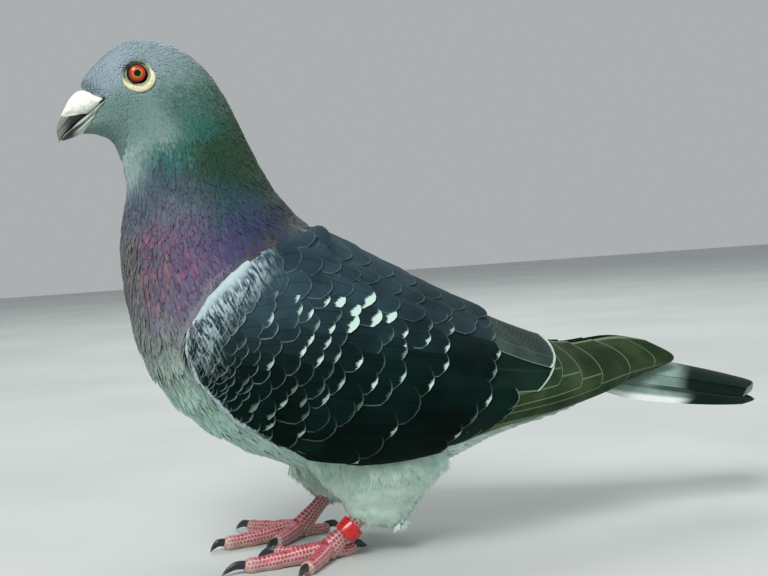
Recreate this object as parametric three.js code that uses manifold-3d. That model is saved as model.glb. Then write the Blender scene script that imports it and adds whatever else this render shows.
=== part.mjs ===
// A racing pigeon standing square on both feet, life size.
// Millimetres, +Z up. The bill points to -X, the tail to +X, and the bird's left side faces -Y.
// The origin is on the ground, under the middle of the bird. Outlines include the plumage.
import * as THREE from 'three';
import { ParametricGeometry } from 'three/addons/geometries/ParametricGeometry.js';
import { mergeVertices } from 'three/addons/utils/BufferGeometryUtils.js';
import Module from 'manifold-3d';

const wasm = await Module();
wasm.setup();

// Driving dimensions
const GAP = 0.3;                    // space left between neighbouring pieces
const EYE_RADIUS = 6.4;             // ball of the eye, mostly sunk in the head
const EYE_CENTRE = [-123.2, 6.9, 210.1];
const WING_THICKNESS = [7.5, 2];    // folded wing at the wrist and at the tip
const TAIL_ROOT = 72;               // X where the closed tail starts, inside the rump
const TAIL_TIP = 157;               // X of the middle feathers' tips
const TAIL_HALF_WIDTH = 25;
const TAIL_CORNER_STEP = 19;        // how much earlier the outermost feather ends
const TAIL_THICKNESS = [6.5, 2.2];  // at the root and at the tip
const ANKLE_HEIGHT = 4.6;           // height at which the shank meets the toes
const TOE_PRESS = 0.8;              // height of a toe's middle line over its radius, pads pressed flat
const BAND_RADIUS = 5.3;
const BAND_WALL = 0.8;
const BAND_HEIGHT = 6.4;
const BAND_PLACE = 12;              // distance of its middle up the shank

// Where each foot's toes meet, how steeply its shank leans back and how far the foot turns out, in
// degrees, the directions of its outer and back toes, how far the inner and outer toes reach, and how
// far the middle claw does, which is less where it points down.
const FEET = [
  {
    name: 'left', side: -1, x: -57, y: -19.5, rise: 40, turn: 7,
    spread: 49, back: 198, inner: 33, outer: 33, middleClaw: 9.5,
  },
  {
    name: 'right', side: 1, x: -61, y: 26, rise: 45, turn: -12,
    spread: 59, back: 180, inner: 30, outer: 39, middleClaw: 6,
  },
];
const MIDDLE_TOE = 38;              // length of the middle toe without its claw

// Ribs of head, neck and trunk in the middle plane: a point on the throat or belly line [x, z],
// its partner on the crown or back line, and the half width of the body between them. `full` is
// the power of the rounded section on the front side: 2 is an ellipse and more is a fuller breast.
const BODY_RIBS = [
  { front: [-149, 196], back: [-149, 197], half: 0 },
  { front: [-147.5, 188], back: [-146.5, 205], half: 4.2 },
  { front: [-141.5, 187], back: [-139.8, 216.5], half: 6.8 },
  { front: [-137, 185.5], back: [-129, 224.3], half: 10.8 },
  { front: [-134.5, 183.5], back: [-120, 226], half: 12.6 },
  { front: [-133, 180.5], back: [-108.2, 223.8], half: 13.2 },
  { front: [-132, 176.5], back: [-98, 217.6], half: 14 },
  { front: [-131, 170.5], back: [-89.8, 208], half: 16 },
  { front: [-130.5, 163], back: [-83.2, 194.8], half: 19.5 },
  { front: [-132.5, 153.5], back: [-76.4, 178.8], half: 23.5 },
  { front: [-134.5, 142], back: [-68, 161.5], half: 28.5, full: 2.1 },
  { front: [-135, 128], back: [-56, 146.5], half: 33, full: 2.2 },
  { front: [-133.5, 113], back: [-40, 132], half: 37, full: 2.4 },
  { front: [-129, 90.5], back: [-20, 120.5], half: 40.5, full: 2.6 },
  { front: [-114.8, 67.2], back: [1, 107.5], half: 41.5, full: 2.5 },
  { front: [-90.8, 48.8], back: [22, 95], half: 40, full: 2.3 },
  { front: [-59, 35.5], back: [42, 83.5], half: 35, full: 2.1 },
  { front: [-25, 30], back: [60, 75], half: 28 },
  { front: [8, 34.5], back: [76, 69.5], half: 22 },
  { front: [36, 44], back: [90, 65], half: 15 },
  { front: [84, 58], back: [84, 60], half: 0 },
];

const CERE_RIBS = [
  { front: [-155.2, 195.3], back: [-155.2, 195.6], half: 0 },
  { front: [-154, 194.8], back: [-154.2, 198.6], half: 3.3 },
  { front: [-151, 195], back: [-151.2, 203], half: 4.9 },
  { front: [-147.5, 195.8], back: [-147.8, 206], half: 6 },
  { front: [-144, 196.7], back: [-143.8, 206], half: 6.9 },
  { front: [-140.4, 198], back: [-140.2, 203.2], half: 8 },
  { front: [-136.6, 200.8], back: [-136.6, 201.4], half: 0 },
];

const UPPER_BILL_RIBS = [
  { front: [-134, 201], back: [-134, 203], half: 0 },
  { front: [-136, 200.3], back: [-137, 203.4], half: 8 },
  { front: [-143, 196.1], back: [-145, 202.2], half: 5.8 },
  { front: [-148, 192.6], back: [-150.8, 199], half: 4.2 },
  { front: [-152, 189.5], back: [-155, 194.6], half: 3.1 },
  { front: [-154.6, 187.4], back: [-156.9, 190.6], half: 2.1 },
  { front: [-156.2, 185], back: [-156.5, 185.4], half: 0 },
];

const LOWER_BILL_RIBS = [
  { front: [-137, 194], back: [-137, 197], half: 0 },
  { front: [-139.5, 189.5], back: [-139, 197.8], half: 6 },
  { front: [-144.5, 187.9], back: [-143.6, 195.2], half: 5.2 },
  { front: [-149.5, 186.6], back: [-148.6, 191.7], half: 3.7 },
  { front: [-152.8, 185.4], back: [-152.4, 188.7], half: 2.2 },
  { front: [-155.2, 185.2], back: [-155.2, 186], half: 0 },
];

// Thigh plumage, from inside the belly down to where it ends on the shank. `out` is its middle's
// distance from the plane between the legs when the foot stands THIGH_STANCE out.
const THIGH_STANCE = 21;
const THIGH_RIBS = [
  { front: [-52, 58], back: [-16, 52], half: 0, out: 19 },
  { front: [-68, 50], back: [0, 44], half: 15, out: 20 },
  { front: [-61, 37], back: [-7, 33], half: 14, out: 21 },
  { front: [-52.5, 27.5], back: [-17.5, 23.5], half: 10.5, out: 21 },
  { front: [-48.5, 20.5], back: [-24.5, 14.5], half: 7, out: 20.5 },
  { front: [-41, 17], back: [-30, 12.5], half: 0, out: 20 },
];

// Edges of the folded wing from the wrist to the tip of the longest flight feather, as
// [x, distance from the middle plane, z]: lower edge, widest line and upper edge.
const WING_LOWER = [
  [-107, 39.5, 80], [-97, 42.5, 67], [-81, 44, 54.5], [-56, 43.5, 47.8], [-28, 42.5, 47.3],
  [-2, 41, 50], [22, 38, 53], [45, 33, 55], [67, 27, 59], [85, 21, 65], [103, 14.5, 70.5],
];
const WING_WIDEST = [
  [-115, 40.5, 98], [-104, 47.5, 97], [-88, 52, 94], [-62, 53.5, 91], [-36, 52.5, 87],
  [-9, 49, 82], [18, 43, 76], [44, 35, 71.5], [66, 27, 70.5], [89, 19.5, 72.5], [112.5, 12, 73.5],
];
const WING_UPPER = [
  [-107, 37, 114], [-99, 37, 125], [-85, 33.5, 135], [-63, 21, 145], [-42, 13, 136],
  [-18, 9.5, 122.5], [10, 7.5, 107], [38, 6, 93], [60, 5.5, 85.5], [85, 6, 84], [108, 8, 78.5],
];

// Thin cuts: between head and neck, neck and trunk, and wing shield and flight feathers.
const THROAT_CUT = { point: [-112, 0, 191], normal: [0.63, 0, -0.78] };
const NECK_CUT = { point: [-97, 0, 142], normal: [0.25, 0, -0.97] };
const WING_CUT = { point: [30, 0, 70], normal: [0.76, 0, -0.65] };

const FINISHES = {
  head: { color: '#74828a', roughness: 0.8 },
  neck: { color: '#3f5a5a', roughness: 0.6 },
  trunk: { color: '#9aa8a2', roughness: 0.85 },
  wing: { color: '#2c3b3d', roughness: 0.6 },
  flight: { color: '#3d4640', roughness: 0.6 },
  tail: { color: '#5d6a68', roughness: 0.7 },
  thigh: { color: '#dfe5e0', roughness: 0.9 },
  cere: { color: '#f0ede4', roughness: 0.7 },
  bill: { color: '#3a3b3d', roughness: 0.45 },
  iris: { color: '#a83a1c', roughness: 0.15 },
  leg: { color: '#b2485a', roughness: 0.65 },
  claw: { color: '#2d2f33', roughness: 0.4 },
  band: { color: '#d8232a', roughness: 0.35 },
};

const { lerp, clamp, degToRad } = THREE.MathUtils;
const vector = point => new THREE.Vector3(...point);
const curve = points => new THREE.CatmullRomCurve3(points.map(vector), false, 'catmullrom', 0.5);

// Turns a closed geometry into a solid with its faces pointing outwards.
function solid(geometry) {
  geometry.deleteAttribute('normal');
  geometry.deleteAttribute('uv');
  const merged = mergeVertices(geometry, 1e-3);
  const position = merged.attributes.position;
  const corners = [0, 1, 2].map(() => new THREE.Vector3());
  const triangles = [];
  let volume = 0;
  for (let i = 0; i < merged.index.count; i += 3) {
    const triangle = [0, 1, 2].map(k => merged.index.getX(i + k));
    if (new Set(triangle).size < 3) continue;
    triangle.forEach((vertex, k) => corners[k].fromBufferAttribute(position, vertex));
    volume += corners[0].dot(corners[1].clone().cross(corners[2]));
    triangles.push(triangle);
  }
  const outward = volume > 0 ? triangles : triangles.map(([a, b, c]) => [a, c, b]);
  return new wasm.Manifold(new wasm.Mesh({
    numProp: 3,
    vertProperties: new Float32Array(position.array),
    triVerts: new Uint32Array(outward.flat()),
  }));
}

// A closed form through ribs, whose first and last rib shrink to a point. `out` moves a rib's
// middle sideways, and `grow` swells the form all round.
function ribbed(ribs, { rings, sides, side = 1, grow = 0 }) {
  const fronts = curve(ribs.map(rib => [rib.front[0], rib.half, rib.front[1]]));
  const backs = curve(ribs.map(rib => [rib.back[0], side * (rib.out ?? 0), rib.back[1]]));
  const powers = curve(ribs.map(rib => [rib.full ?? 2, 0, 0]));
  return solid(new ParametricGeometry((around, along, target) => {
    const front = fronts.getPoint(along);
    const back = backs.getPoint(along);
    const isPole = along === 0 || along === 1;
    const halfWidth = isPole ? 0 : Math.max(0, front.y) + grow;
    const reach = new THREE.Vector3(back.x - front.x, 0, back.z - front.z).multiplyScalar(0.5);
    reach.setLength(isPole ? 0 : reach.length() + grow);
    const angle = 2 * Math.PI * around;
    const power = Math.cos(angle) < 0 ? powers.getPoint(along).x : 2;
    const rounded = value => Math.sign(value) * Math.abs(value) ** (2 / power);
    target.set((front.x + back.x) / 2, back.y, (front.z + back.z) / 2);
    target.addScaledVector(reach, rounded(Math.cos(angle)));
    target.y += halfWidth * rounded(Math.sin(angle));
  }, sides, rings));
}

// A limb with rounded ends along a path, with a radius at each path point; `squash` narrows it.
function limb(path, radii, { rings, sides, grow = 0, squash = 1 }) {
  const line = curve(path);
  const radius = curve(radii.map(r => [r, 0, 0]));
  const up = new THREE.Vector3(0, 0, 1);
  const cap = 1.2 / rings;
  return solid(new ParametricGeometry((around, along, target) => {
    const tangent = line.getTangent(clamp(along, 0.01, 0.99));
    const across = tangent.clone().cross(up).normalize();
    const over = across.clone().cross(tangent);
    const fromEnd = Math.min(1, Math.min(along, 1 - along) / cap);
    const isPole = along === 0 || along === 1;
    const r = isPole ? 0 : radius.getPoint(along).x * Math.sqrt(1 - (1 - fromEnd) ** 2) + grow;
    const angle = 2 * Math.PI * around;
    target.copy(line.getPoint(along));
    target.addScaledVector(across, squash * r * Math.cos(angle));
    target.addScaledVector(over, r * Math.sin(angle));
  }, sides, rings));
}

// A bent plate: `place` gives the point for (along, across, through), each from 0 to 1.
function plate(along, across, place) {
  const box = new THREE.BoxGeometry(1, 1, 1, along, across, 1).translate(0.5, 0.5, 0.5);
  const position = box.attributes.position;
  for (let i = 0; i < position.count; i++) {
    const point = place(position.getX(i), position.getY(i), position.getZ(i));
    position.setXYZ(i, point.x, point.y, point.z);
  }
  return solid(box);
}

// The half of space on the far side of a plane, as one block larger than the bird.
function beyond(point, normal) {
  const span = 800;
  const block = new THREE.BoxGeometry(span, span, span).translate(0, 0, span / 2);
  const turn = new THREE.Quaternion().setFromUnitVectors(new THREE.Vector3(0, 0, 1), normal);
  return solid(block.applyQuaternion(turn).translate(...point));
}

const largest = piece => piece.decompose().sort((a, b) => b.volume() - a.volume())[0];

// Parts a solid in two with a thin cut; the second piece lies on the side the normal points to.
function parted(piece, cut) {
  const normal = vector(cut.normal).normalize();
  const shifted = distance => vector(cut.point).addScaledVector(normal, distance);
  const near = piece.subtract(beyond(shifted(-GAP / 2), normal));
  const far = piece.intersect(beyond(shifted(GAP / 2), normal));
  return [near, far].map(largest);
}

const group = new THREE.Group();

function add(name, piece, finish) {
  const { vertProperties, triVerts } = largest(piece).getMesh();
  const geometry = new THREE.BufferGeometry();
  geometry.setAttribute('position', new THREE.BufferAttribute(new Float32Array(vertProperties), 3));
  geometry.setIndex([...triVerts]);
  const mesh = new THREE.Mesh(geometry, new THREE.MeshStandardMaterial({ ...finish, metalness: 0 }));
  mesh.name = name;
  group.add(mesh);
}

// Bill: two horny halves, and the cere, a soft swelling that sits on the upper one.
const billSize = { rings: 10, sides: 10 };
const billRoom = { ...billSize, grow: GAP };
const upperRoom = ribbed(UPPER_BILL_RIBS, billRoom);
const lowerRoom = ribbed(LOWER_BILL_RIBS, billRoom);
const cereRoom = ribbed(CERE_RIBS, billRoom);
add('bill_upper', ribbed(UPPER_BILL_RIBS, billSize), FINISHES.bill);
add('bill_lower', ribbed(LOWER_BILL_RIBS, billSize).subtract(upperRoom), FINISHES.bill);
add('cere', ribbed(CERE_RIBS, billSize).subtract(upperRoom).subtract(lowerRoom), FINISHES.cere);

function eyeball(side, grow = 0) {
  const [x, out, z] = EYE_CENTRE;
  return solid(new THREE.SphereGeometry(EYE_RADIUS + grow, 14, 8).translate(x, side * out, z));
}
add('eye_left', eyeball(-1), FINISHES.iris);
add('eye_right', eyeball(1), FINISHES.iris);

// Head, neck and trunk are one form, parted at the throat and at the foot of the neck.
const bodySize = { rings: 32, sides: 20 };
const [wholeHead, below] = parted(ribbed(BODY_RIBS, bodySize), THROAT_CUT);
const [neck, trunk] = parted(below, NECK_CUT);
const headRooms = [upperRoom, lowerRoom, cereRoom, eyeball(-1, GAP), eyeball(1, GAP)];
add('head', headRooms.reduce((head, room) => head.subtract(room), wholeHead), FINISHES.head);
add('neck', neck, FINISHES.neck);
add('trunk', trunk, FINISHES.trunk);
const trunkRoom = ribbed(BODY_RIBS, { ...bodySize, grow: GAP });

// Tail: a closed fan that falls away to both sides like a roof, its corners ending earlier.
function tail(grow = 0) {
  return plate(8, 10, (along, across, through) => {
    const sideways = 2 * across - 1;
    const tip = TAIL_TIP - TAIL_CORNER_STEP * Math.abs(sideways) ** 2.2;
    const halfWidth = TAIL_HALF_WIDTH * lerp(0.82, 1, along) + grow;
    const ridge = 74.5 - 18.5 * along ** 1.25;
    const fall = lerp(14, 6, along) * Math.abs(sideways) ** 1.7;
    const thickness = lerp(...TAIL_THICKNESS, along) + 2 * grow;
    const x = lerp(TAIL_ROOT, tip, along);
    return new THREE.Vector3(x, sideways * halfWidth, ridge + grow - fall - thickness * (1 - through));
  });
}
add('tail', tail().subtract(trunkRoom), FINISHES.tail);

// Wing: a shell laid along the flank, bulged between its lower edge, widest line and upper edge.
function wing(side) {
  const [lower, widest, upper] = [WING_LOWER, WING_WIDEST, WING_UPPER].map(curve);
  return plate(22, 8, (along, across, through) => {
    const start = lower.getPoint(along);
    const end = upper.getPoint(along);
    const pull = widest.getPoint(along).multiplyScalar(2).sub(start.clone().lerp(end, 0.5));
    const rib = new THREE.QuadraticBezierCurve3(start, pull, end);
    const rise = rib.getTangent(across);
    const inward = new THREE.Vector3(0, -rise.z, rise.y).normalize();
    const thickness = lerp(...WING_THICKNESS, along ** 0.7);
    const point = rib.getPoint(across).addScaledVector(inward, thickness * (1 - through));
    point.y *= side;
    return point;
  });
}
for (const { name, side } of FEET) {
  const [shield, primaries] = parted(wing(side).subtract(trunkRoom).subtract(tail(GAP)), WING_CUT);
  add(`wing_${name}_shield`, shield, FINISHES.wing);
  add(`wing_${name}_primaries`, primaries, FINISHES.flight);
}

// Legs: each shank leans back from its foot into the thigh's plumage. All that stands on the
// ground is cut flat there.
const ground = beyond([0, 0, 0], new THREE.Vector3(0, 0, 1));
const upShank = ({ x, y, rise }, distance) => [
  x + distance * Math.cos(degToRad(rise)), y, ANKLE_HEIGHT + distance * Math.sin(degToRad(rise))];

function shank(foot, grow = 0) {
  const path = [-3, 3, 12, 26].map(distance => upShank(foot, distance));
  const size = { rings: 8, sides: 10, squash: 0.85, grow };
  return limb(path, [4.8, 4.5, 3.5, 3.7], size).intersect(ground);
}

for (const foot of FEET) {
  const shift = 0.7 * (foot.side * foot.y - THIGH_STANCE);
  const ribs = THIGH_RIBS.map(rib => ({ ...rib, out: rib.out + shift }));
  const thigh = ribbed(ribs, { rings: 10, sides: 14, side: foot.side });
  add(`thigh_${foot.name}`, thigh.subtract(trunkRoom).subtract(shank(foot, GAP)), FINISHES.thigh);
  add(`tarsus_${foot.name}`, shank(foot), FINISHES.leg);
}

// Toes: `angle` is measured outwards from straight ahead, `length` and `claw` along the ground.
const toesOf = foot => [
  {
    label: 'middle', angle: 0, length: MIDDLE_TOE + foot.middleClaw, claw: foot.middleClaw,
    thick: 3.6, lift: 0,
  },
  { label: 'inner', angle: -36, length: foot.inner, claw: 8, thick: 3.4, lift: 0 },
  { label: 'outer', angle: foot.spread, length: foot.outer, claw: 8, thick: 3.4, lift: 0 },
  { label: 'back', angle: foot.back, length: 21, claw: 6.5, thick: 2.7, lift: 0.8 },
];

function alongToe(foot, toe) {
  const heading = degToRad(toe.angle + foot.turn);
  return (distance, z) => [
    foot.x - distance * Math.cos(heading), foot.y + foot.side * distance * Math.sin(heading), z];
}

function toeSolid(foot, toe, grow = 0) {
  const at = alongToe(foot, toe);
  const reach = toe.length - toe.claw;
  const height = toe.thick * TOE_PRESS;
  const path = [
    at(1.5, ANKLE_HEIGHT + 0.4), at(reach * 0.4, toe.thick), at(reach * 0.75, height),
    at(reach, height + toe.lift)];
  const radii = [1.1, 1, 0.92, 0.9].map(share => share * toe.thick);
  return limb(path, radii, { rings: 8, sides: 8, grow }).intersect(ground);
}

function clawSolid(foot, toe) {
  const at = alongToe(foot, toe);
  const reach = toe.length - toe.claw;
  const height = toe.thick * TOE_PRESS + toe.lift;
  const path = [
    at(reach - 2.5, height + 0.8), at(reach + toe.claw * 0.5, height + 0.6),
    at(toe.length, 0.5 + toe.lift * 2)];
  return limb(path, [1.9, 1.5, 0.55], { rings: 6, sides: 6, squash: 0.75 }).intersect(ground);
}

for (const foot of FEET) {
  let taken = shank(foot, GAP);
  for (const toe of toesOf(foot)) {
    const room = toeSolid(foot, toe, GAP);
    add(`toe_${foot.name}_${toe.label}`, toeSolid(foot, toe).subtract(taken), FINISHES.leg);
    add(`claw_${foot.name}_${toe.label}`, clawSolid(foot, toe).subtract(room), FINISHES.claw);
    taken = taken.add(room);
  }
}

// Leg band: a plain ring on the left shank, hanging against its upper side.
const bandInner = BAND_RADIUS - BAND_WALL;
const bandProfile = [
  [bandInner, -0.5], [BAND_RADIUS, -0.5], [BAND_RADIUS, 0.5], [bandInner, 0.5], [bandInner, -0.5],
].map(([radius, end]) => new THREE.Vector2(radius, end * BAND_HEIGHT));
const [banded] = FEET;
const [bandX, bandY, bandZ] = upShank(banded, BAND_PLACE);
const band = new THREE.LatheGeometry(bandProfile, 24).rotateZ(-Math.PI / 2).rotateY(-degToRad(banded.rise));
add('leg_band', solid(band.translate(bandX + GAP, bandY, bandZ - GAP)), FINISHES.band);

export default group;
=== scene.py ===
import math

import bmesh
import bpy
import numpy as np
from mathutils import Matrix, Vector
from mathutils.bvhtree import BVHTree


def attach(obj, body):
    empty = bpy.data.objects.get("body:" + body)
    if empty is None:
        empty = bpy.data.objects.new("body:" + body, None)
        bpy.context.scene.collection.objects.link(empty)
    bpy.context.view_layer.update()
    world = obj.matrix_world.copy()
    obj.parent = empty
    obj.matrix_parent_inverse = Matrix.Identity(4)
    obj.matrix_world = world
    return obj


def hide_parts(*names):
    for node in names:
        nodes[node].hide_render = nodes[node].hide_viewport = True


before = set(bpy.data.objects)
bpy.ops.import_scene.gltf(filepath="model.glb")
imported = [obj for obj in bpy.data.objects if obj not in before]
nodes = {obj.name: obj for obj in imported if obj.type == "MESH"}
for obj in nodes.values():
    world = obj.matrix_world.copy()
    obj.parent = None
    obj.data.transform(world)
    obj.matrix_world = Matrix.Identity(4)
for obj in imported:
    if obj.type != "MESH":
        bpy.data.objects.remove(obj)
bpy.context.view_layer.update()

scene = bpy.context.scene

# ------------------------------------------------------------------ camera
# The bird is seen from its left side and a little from the front, at the height of its neck, as a
# visitor would look at it in a low case.
VIEW_TURN, VIEW_FALL, VIEW_ROLL = (math.radians(angle) for angle in (14.0, 3.0, 3.5))
CAMERA_PLACE = Vector((-0.1561, -0.5432, 0.1430))
FOCAL_LENGTH_PX, FRAME_WIDTH_PX, SENSOR_WIDTH_MM = 1256, 768, 36

ahead = Vector((math.cos(VIEW_FALL) * math.sin(VIEW_TURN), math.cos(VIEW_FALL) * math.cos(VIEW_TURN),
                -math.sin(VIEW_FALL)))
level_right = Vector((math.cos(VIEW_TURN), -math.sin(VIEW_TURN), 0))
level_up = level_right.cross(ahead)
camera_right = level_right * math.cos(VIEW_ROLL) - level_up * math.sin(VIEW_ROLL)
camera_up = level_up * math.cos(VIEW_ROLL) + level_right * math.sin(VIEW_ROLL)

camera_data = bpy.data.cameras.new("camera")
camera_data.sensor_width = SENSOR_WIDTH_MM
camera_data.lens = SENSOR_WIDTH_MM * FOCAL_LENGTH_PX / FRAME_WIDTH_PX
camera_data.clip_start, camera_data.clip_end = 0.05, 20
camera = bpy.data.objects.new("camera", camera_data)
scene.collection.objects.link(camera)
turned = Matrix((camera_right, camera_up, -ahead)).transposed()
camera.matrix_world = Matrix.Translation(CAMERA_PLACE) @ turned.to_4x4()
scene.camera = camera


# ------------------------------------------------------------------ floor and lights
# A plain pale studio floor, a large soft light over the camera's left shoulder, a weak wide one from
# the right, one from behind the bird for its rim, and a faint sky all round.
class Socket:
    """An output of a node that takes part in Python arithmetic, adding nodes to its tree."""

    def __init__(self, tree, socket):
        self.tree, self.socket = tree, socket

    def node(self, kind, settings=None, output=0, **inputs):
        """Adds a node of a kind, sets its settings, then its input sockets by number, as i0 and i1, and
        gives one output."""
        made = self.tree.nodes.new(kind)
        for name, value in (settings or {}).items():
            setattr(made, name, value)
        for key, value in inputs.items():
            socket = made.inputs[int(key[1:])]
            if isinstance(value, Socket):
                self.tree.links.new(value.socket, socket)
            else:
                socket.default_value = value
        return Socket(self.tree, made.outputs[output])

    def ramp(self, stops):
        """The colour at this value on a line of (place, colour) stops."""
        colour_line = self.node("ShaderNodeValToRGB", i0=self)
        elements = colour_line.socket.node.color_ramp.elements
        while len(elements) > 1:
            elements.remove(elements[-1])
        for index, (place, colour) in enumerate(stops):
            element = elements[0] if index == 0 else elements.new(place)
            element.position = place
            element.color = (*colour[:3], 1)
        return colour_line

    def apply(self, operation, other=0.0):
        """What a Math node makes of this value and another one."""
        return self.node("ShaderNodeMath", {"operation": operation}, i0=self, i1=other)

    def __add__(self, other):
        return self.apply("ADD", other)

    def __mul__(self, other):
        return self.apply("MULTIPLY", other)

    def __sub__(self, other):
        return self.apply("SUBTRACT", other)

    def __rsub__(self, other):
        return self.node("ShaderNodeMath", {"operation": "SUBTRACT"}, i0=other, i1=self)

    __radd__, __rmul__ = __add__, __mul__

    def between(self, low, high):
        """0 below low, 1 above high and smooth in between; high may be the smaller."""
        return self.node("ShaderNodeMapRange", {"interpolation_type": "SMOOTHSTEP"},
                         i0=self, i1=low, i2=high, i3=0.0, i4=1.0)

    def toward(self, first, second):
        """The colour between two colours at this factor."""
        return self.node("ShaderNodeMix", {"data_type": "RGBA"}, output=2, i0=self, i6=first, i7=second)

    def part(self, name):
        """One of a vector's parts."""
        return self.node("ShaderNodeSeparateXYZ", output="XYZ".index(name), i0=self)

    def scaled(self, by):
        """A vector or colour with all its parts multiplied by one factor."""
        return self.node("ShaderNodeVectorMath", {"operation": "SCALE"}, i0=self, i3=by)

    def noise(self, scale, detail=2.0, roughness=0.5):
        """A cloudy value from 0 to 1 at this place."""
        return self.node("ShaderNodeTexNoise", i0=self, i2=scale, i3=detail, i4=roughness)

    def place(self):
        """Where a point lies, in metres from the origin of the bird."""
        return self.node("ShaderNodeTexCoord", output=3)

    def value(self, name):
        """One of the values stored for the points of a mesh."""
        return self.node("ShaderNodeAttribute", {"attribute_name": name}, output=2)

    def along_vane(self):
        """Where a point lies on its feather: a vector with X across (0 to 1) and Y from root to tip."""
        return self.node("ShaderNodeUVMap", {"uv_map": "vane"})

    def bump(self, strength, depth):
        """A normal that follows this height, for a depth in metres."""
        return self.node("ShaderNodeBump", i0=strength, i1=depth, i3=self)


def rgb(text):
    """A colour written as six hex digits, as linear values with alpha."""
    parts = [int(text[i:i + 2], 16) / 255 for i in (0, 2, 4)]
    linear = [p / 12.92 if p <= 0.04045 else ((p + 0.055) / 1.055) ** 2.4 for p in parts]
    return (*linear, 1.0)


def new_material(name, **settings):
    """A Principled material with constant sockets set, and its tree as a starting Socket."""
    material = bpy.data.materials.new(name)
    material.use_nodes = True
    tree = material.node_tree
    shader = tree.nodes["Principled BSDF"]
    for key, value in settings.items():
        shader.inputs[key.replace("_", " ")].default_value = value
    return material, Socket(tree, None), shader


def feed(shader, name, value):
    """Links a value to one of a shader's sockets."""
    shader.id_data.links.new(value.socket, shader.inputs[name])


def new_piece(name, mesh, *materials):
    """A new object of the scene with a mesh and its materials."""
    piece = bpy.data.objects.new(name, mesh)
    scene.collection.objects.link(piece)
    for material in materials:
        mesh.materials.append(material)
    return piece


FLOOR_HALF_SIZE = 3.0
floor_mesh = bpy.data.meshes.new("floor")
floor_corners = [(x * FLOOR_HALF_SIZE, y * FLOOR_HALF_SIZE, 0)
                 for x, y in ((-1, -1), (1, -1), (1, 1), (-1, 1))]
floor_mesh.from_pydata(floor_corners, [], [(0, 1, 2, 3)])
floor_material, tree, shader = new_material("studio_floor", Roughness=0.7)
grain = tree.place().noise(6.0, 3.0)
feed(shader, "Base Color", grain.between(0.3, 0.7).toward(rgb("b4bab8"), rgb("bdc2c0")))
floor = new_piece("studio_floor", floor_mesh, floor_material)


def soft_light(name, place, size, power, colour):
    """A square light that faces the bird's middle."""
    data = bpy.data.lights.new(name, "AREA")
    data.energy, data.size, data.color = power, size, colour
    light = bpy.data.objects.new(name, data)
    light.location = place
    light.rotation_euler = (Vector((0, 0, 0.1)) - Vector(place)).to_track_quat("-Z", "Y").to_euler()
    scene.collection.objects.link(light)


soft_light("key_light", (-0.9, -1.1, 1.6), 1.0, 40, (1.0, 0.99, 0.96))
soft_light("fill_light", (1.4, -1.0, 0.9), 1.4, 6, (0.93, 0.97, 1.0))
soft_light("rim_light", (0.4, 1.3, 1.4), 1.2, 14, (1.0, 1.0, 1.0))
world = bpy.data.worlds.new("studio")
world.use_nodes = True
world.node_tree.nodes["Background"].inputs["Color"].default_value = rgb("e9eef0")
world.node_tree.nodes["Background"].inputs["Strength"].default_value = 0.5
scene.world = world
scene.view_settings.view_transform = "Standard"


# ------------------------------------------------------------------ skin
# The flesh of head, neck, trunk, wings and thighs is one form under one skin. It is fused from the
# frame's own forms, smoothed, and lies under the plumage by the coat's depth.
MM = 0.001      # the scene is in metres, and most tables are in millimetres
FLESH_NODES = ["head", "neck", "trunk", "wing_left_shield", "wing_right_shield", "thigh_left", "thigh_right"]
FUSE_STEP = 1.4 * MM
SEAM_CLOSING = 0.4 * MM      # the forms are swelled by this, which closes the cuts between them
SOFTENING_ROUNDS = 14
BODY_AXIS = np.array([
    (-150, 0, 193), (-133, 0, 205), (-121, 0, 202), (-110, 0, 189), (-104, 0, 166), (-95, 0, 137),
    (-74, 0, 105), (-34, 0, 72), (17, 0, 52), (84, 0, 59)]) * MM


def merged_form(names, swell=0.0):
    """A bmesh of copies of CAD nodes, with their loose triangles joined."""
    form = bmesh.new()
    for name in names:
        form.from_mesh(nodes[name].data)
    bmesh.ops.remove_doubles(form, verts=form.verts, dist=1e-5)
    form.normal_update()
    for vert in form.verts:
        vert.co += vert.normal * swell
    return form


def plain_mesh(piece):
    """A plain mesh of a piece with its modifiers applied; the piece itself is removed."""
    graph = bpy.context.evaluated_depsgraph_get()
    mesh = bpy.data.meshes.new_from_object(piece.evaluated_get(graph))
    bpy.data.objects.remove(piece)
    return mesh


def fused(form, step, rounds):
    """One smooth closed mesh round everything in a bmesh, which is freed."""
    mesh = bpy.data.meshes.new("fused")
    form.to_mesh(mesh)
    form.free()
    piece = new_piece("fused", mesh)
    remesh = piece.modifiers.new("fuse", "REMESH")
    remesh.mode, remesh.voxel_size, remesh.use_smooth_shade = "VOXEL", step, True
    soften = piece.modifiers.new("soften", "SMOOTH")
    soften.factor, soften.iterations = 0.5, rounds
    return plain_mesh(piece)


def vectors_of(collection, name):
    """One vector of every item of a collection."""
    values = np.empty(len(collection) * 3)
    collection.foreach_get(name, values)
    return values.reshape(-1, 3)


def search_form(mesh):
    """A form of a mesh that finds where a ray hits it."""
    return BVHTree.FromPolygons([tuple(p) for p in vectors_of(mesh.vertices, "co")],
                                [tuple(p.vertices) for p in mesh.polygons])


def smooth_path(points, shares):
    """Points at shares from 0 to 1 of a smooth curve through evenly counted points."""
    last = len(points) - 1
    padded = np.vstack([2 * points[0] - points[1], points, 2 * points[-1] - points[-2]])
    place = np.asarray(shares) * last
    index = np.clip(np.floor(place).astype(int), 0, last - 1)
    part = (place - index)[..., None]
    before, start, end, after = (padded[index + k] for k in range(4))
    return 0.5 * (2 * start + (end - before) * part + (2 * before - 5 * start + 4 * end - after) * part ** 2
                  + (3 * start - before - 3 * end + after) * part ** 3)


def unit(vectors):
    """Vectors of the same directions with a length of 1."""
    return vectors / np.maximum(np.linalg.norm(vectors, axis=-1, keepdims=True), 1e-12)


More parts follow.
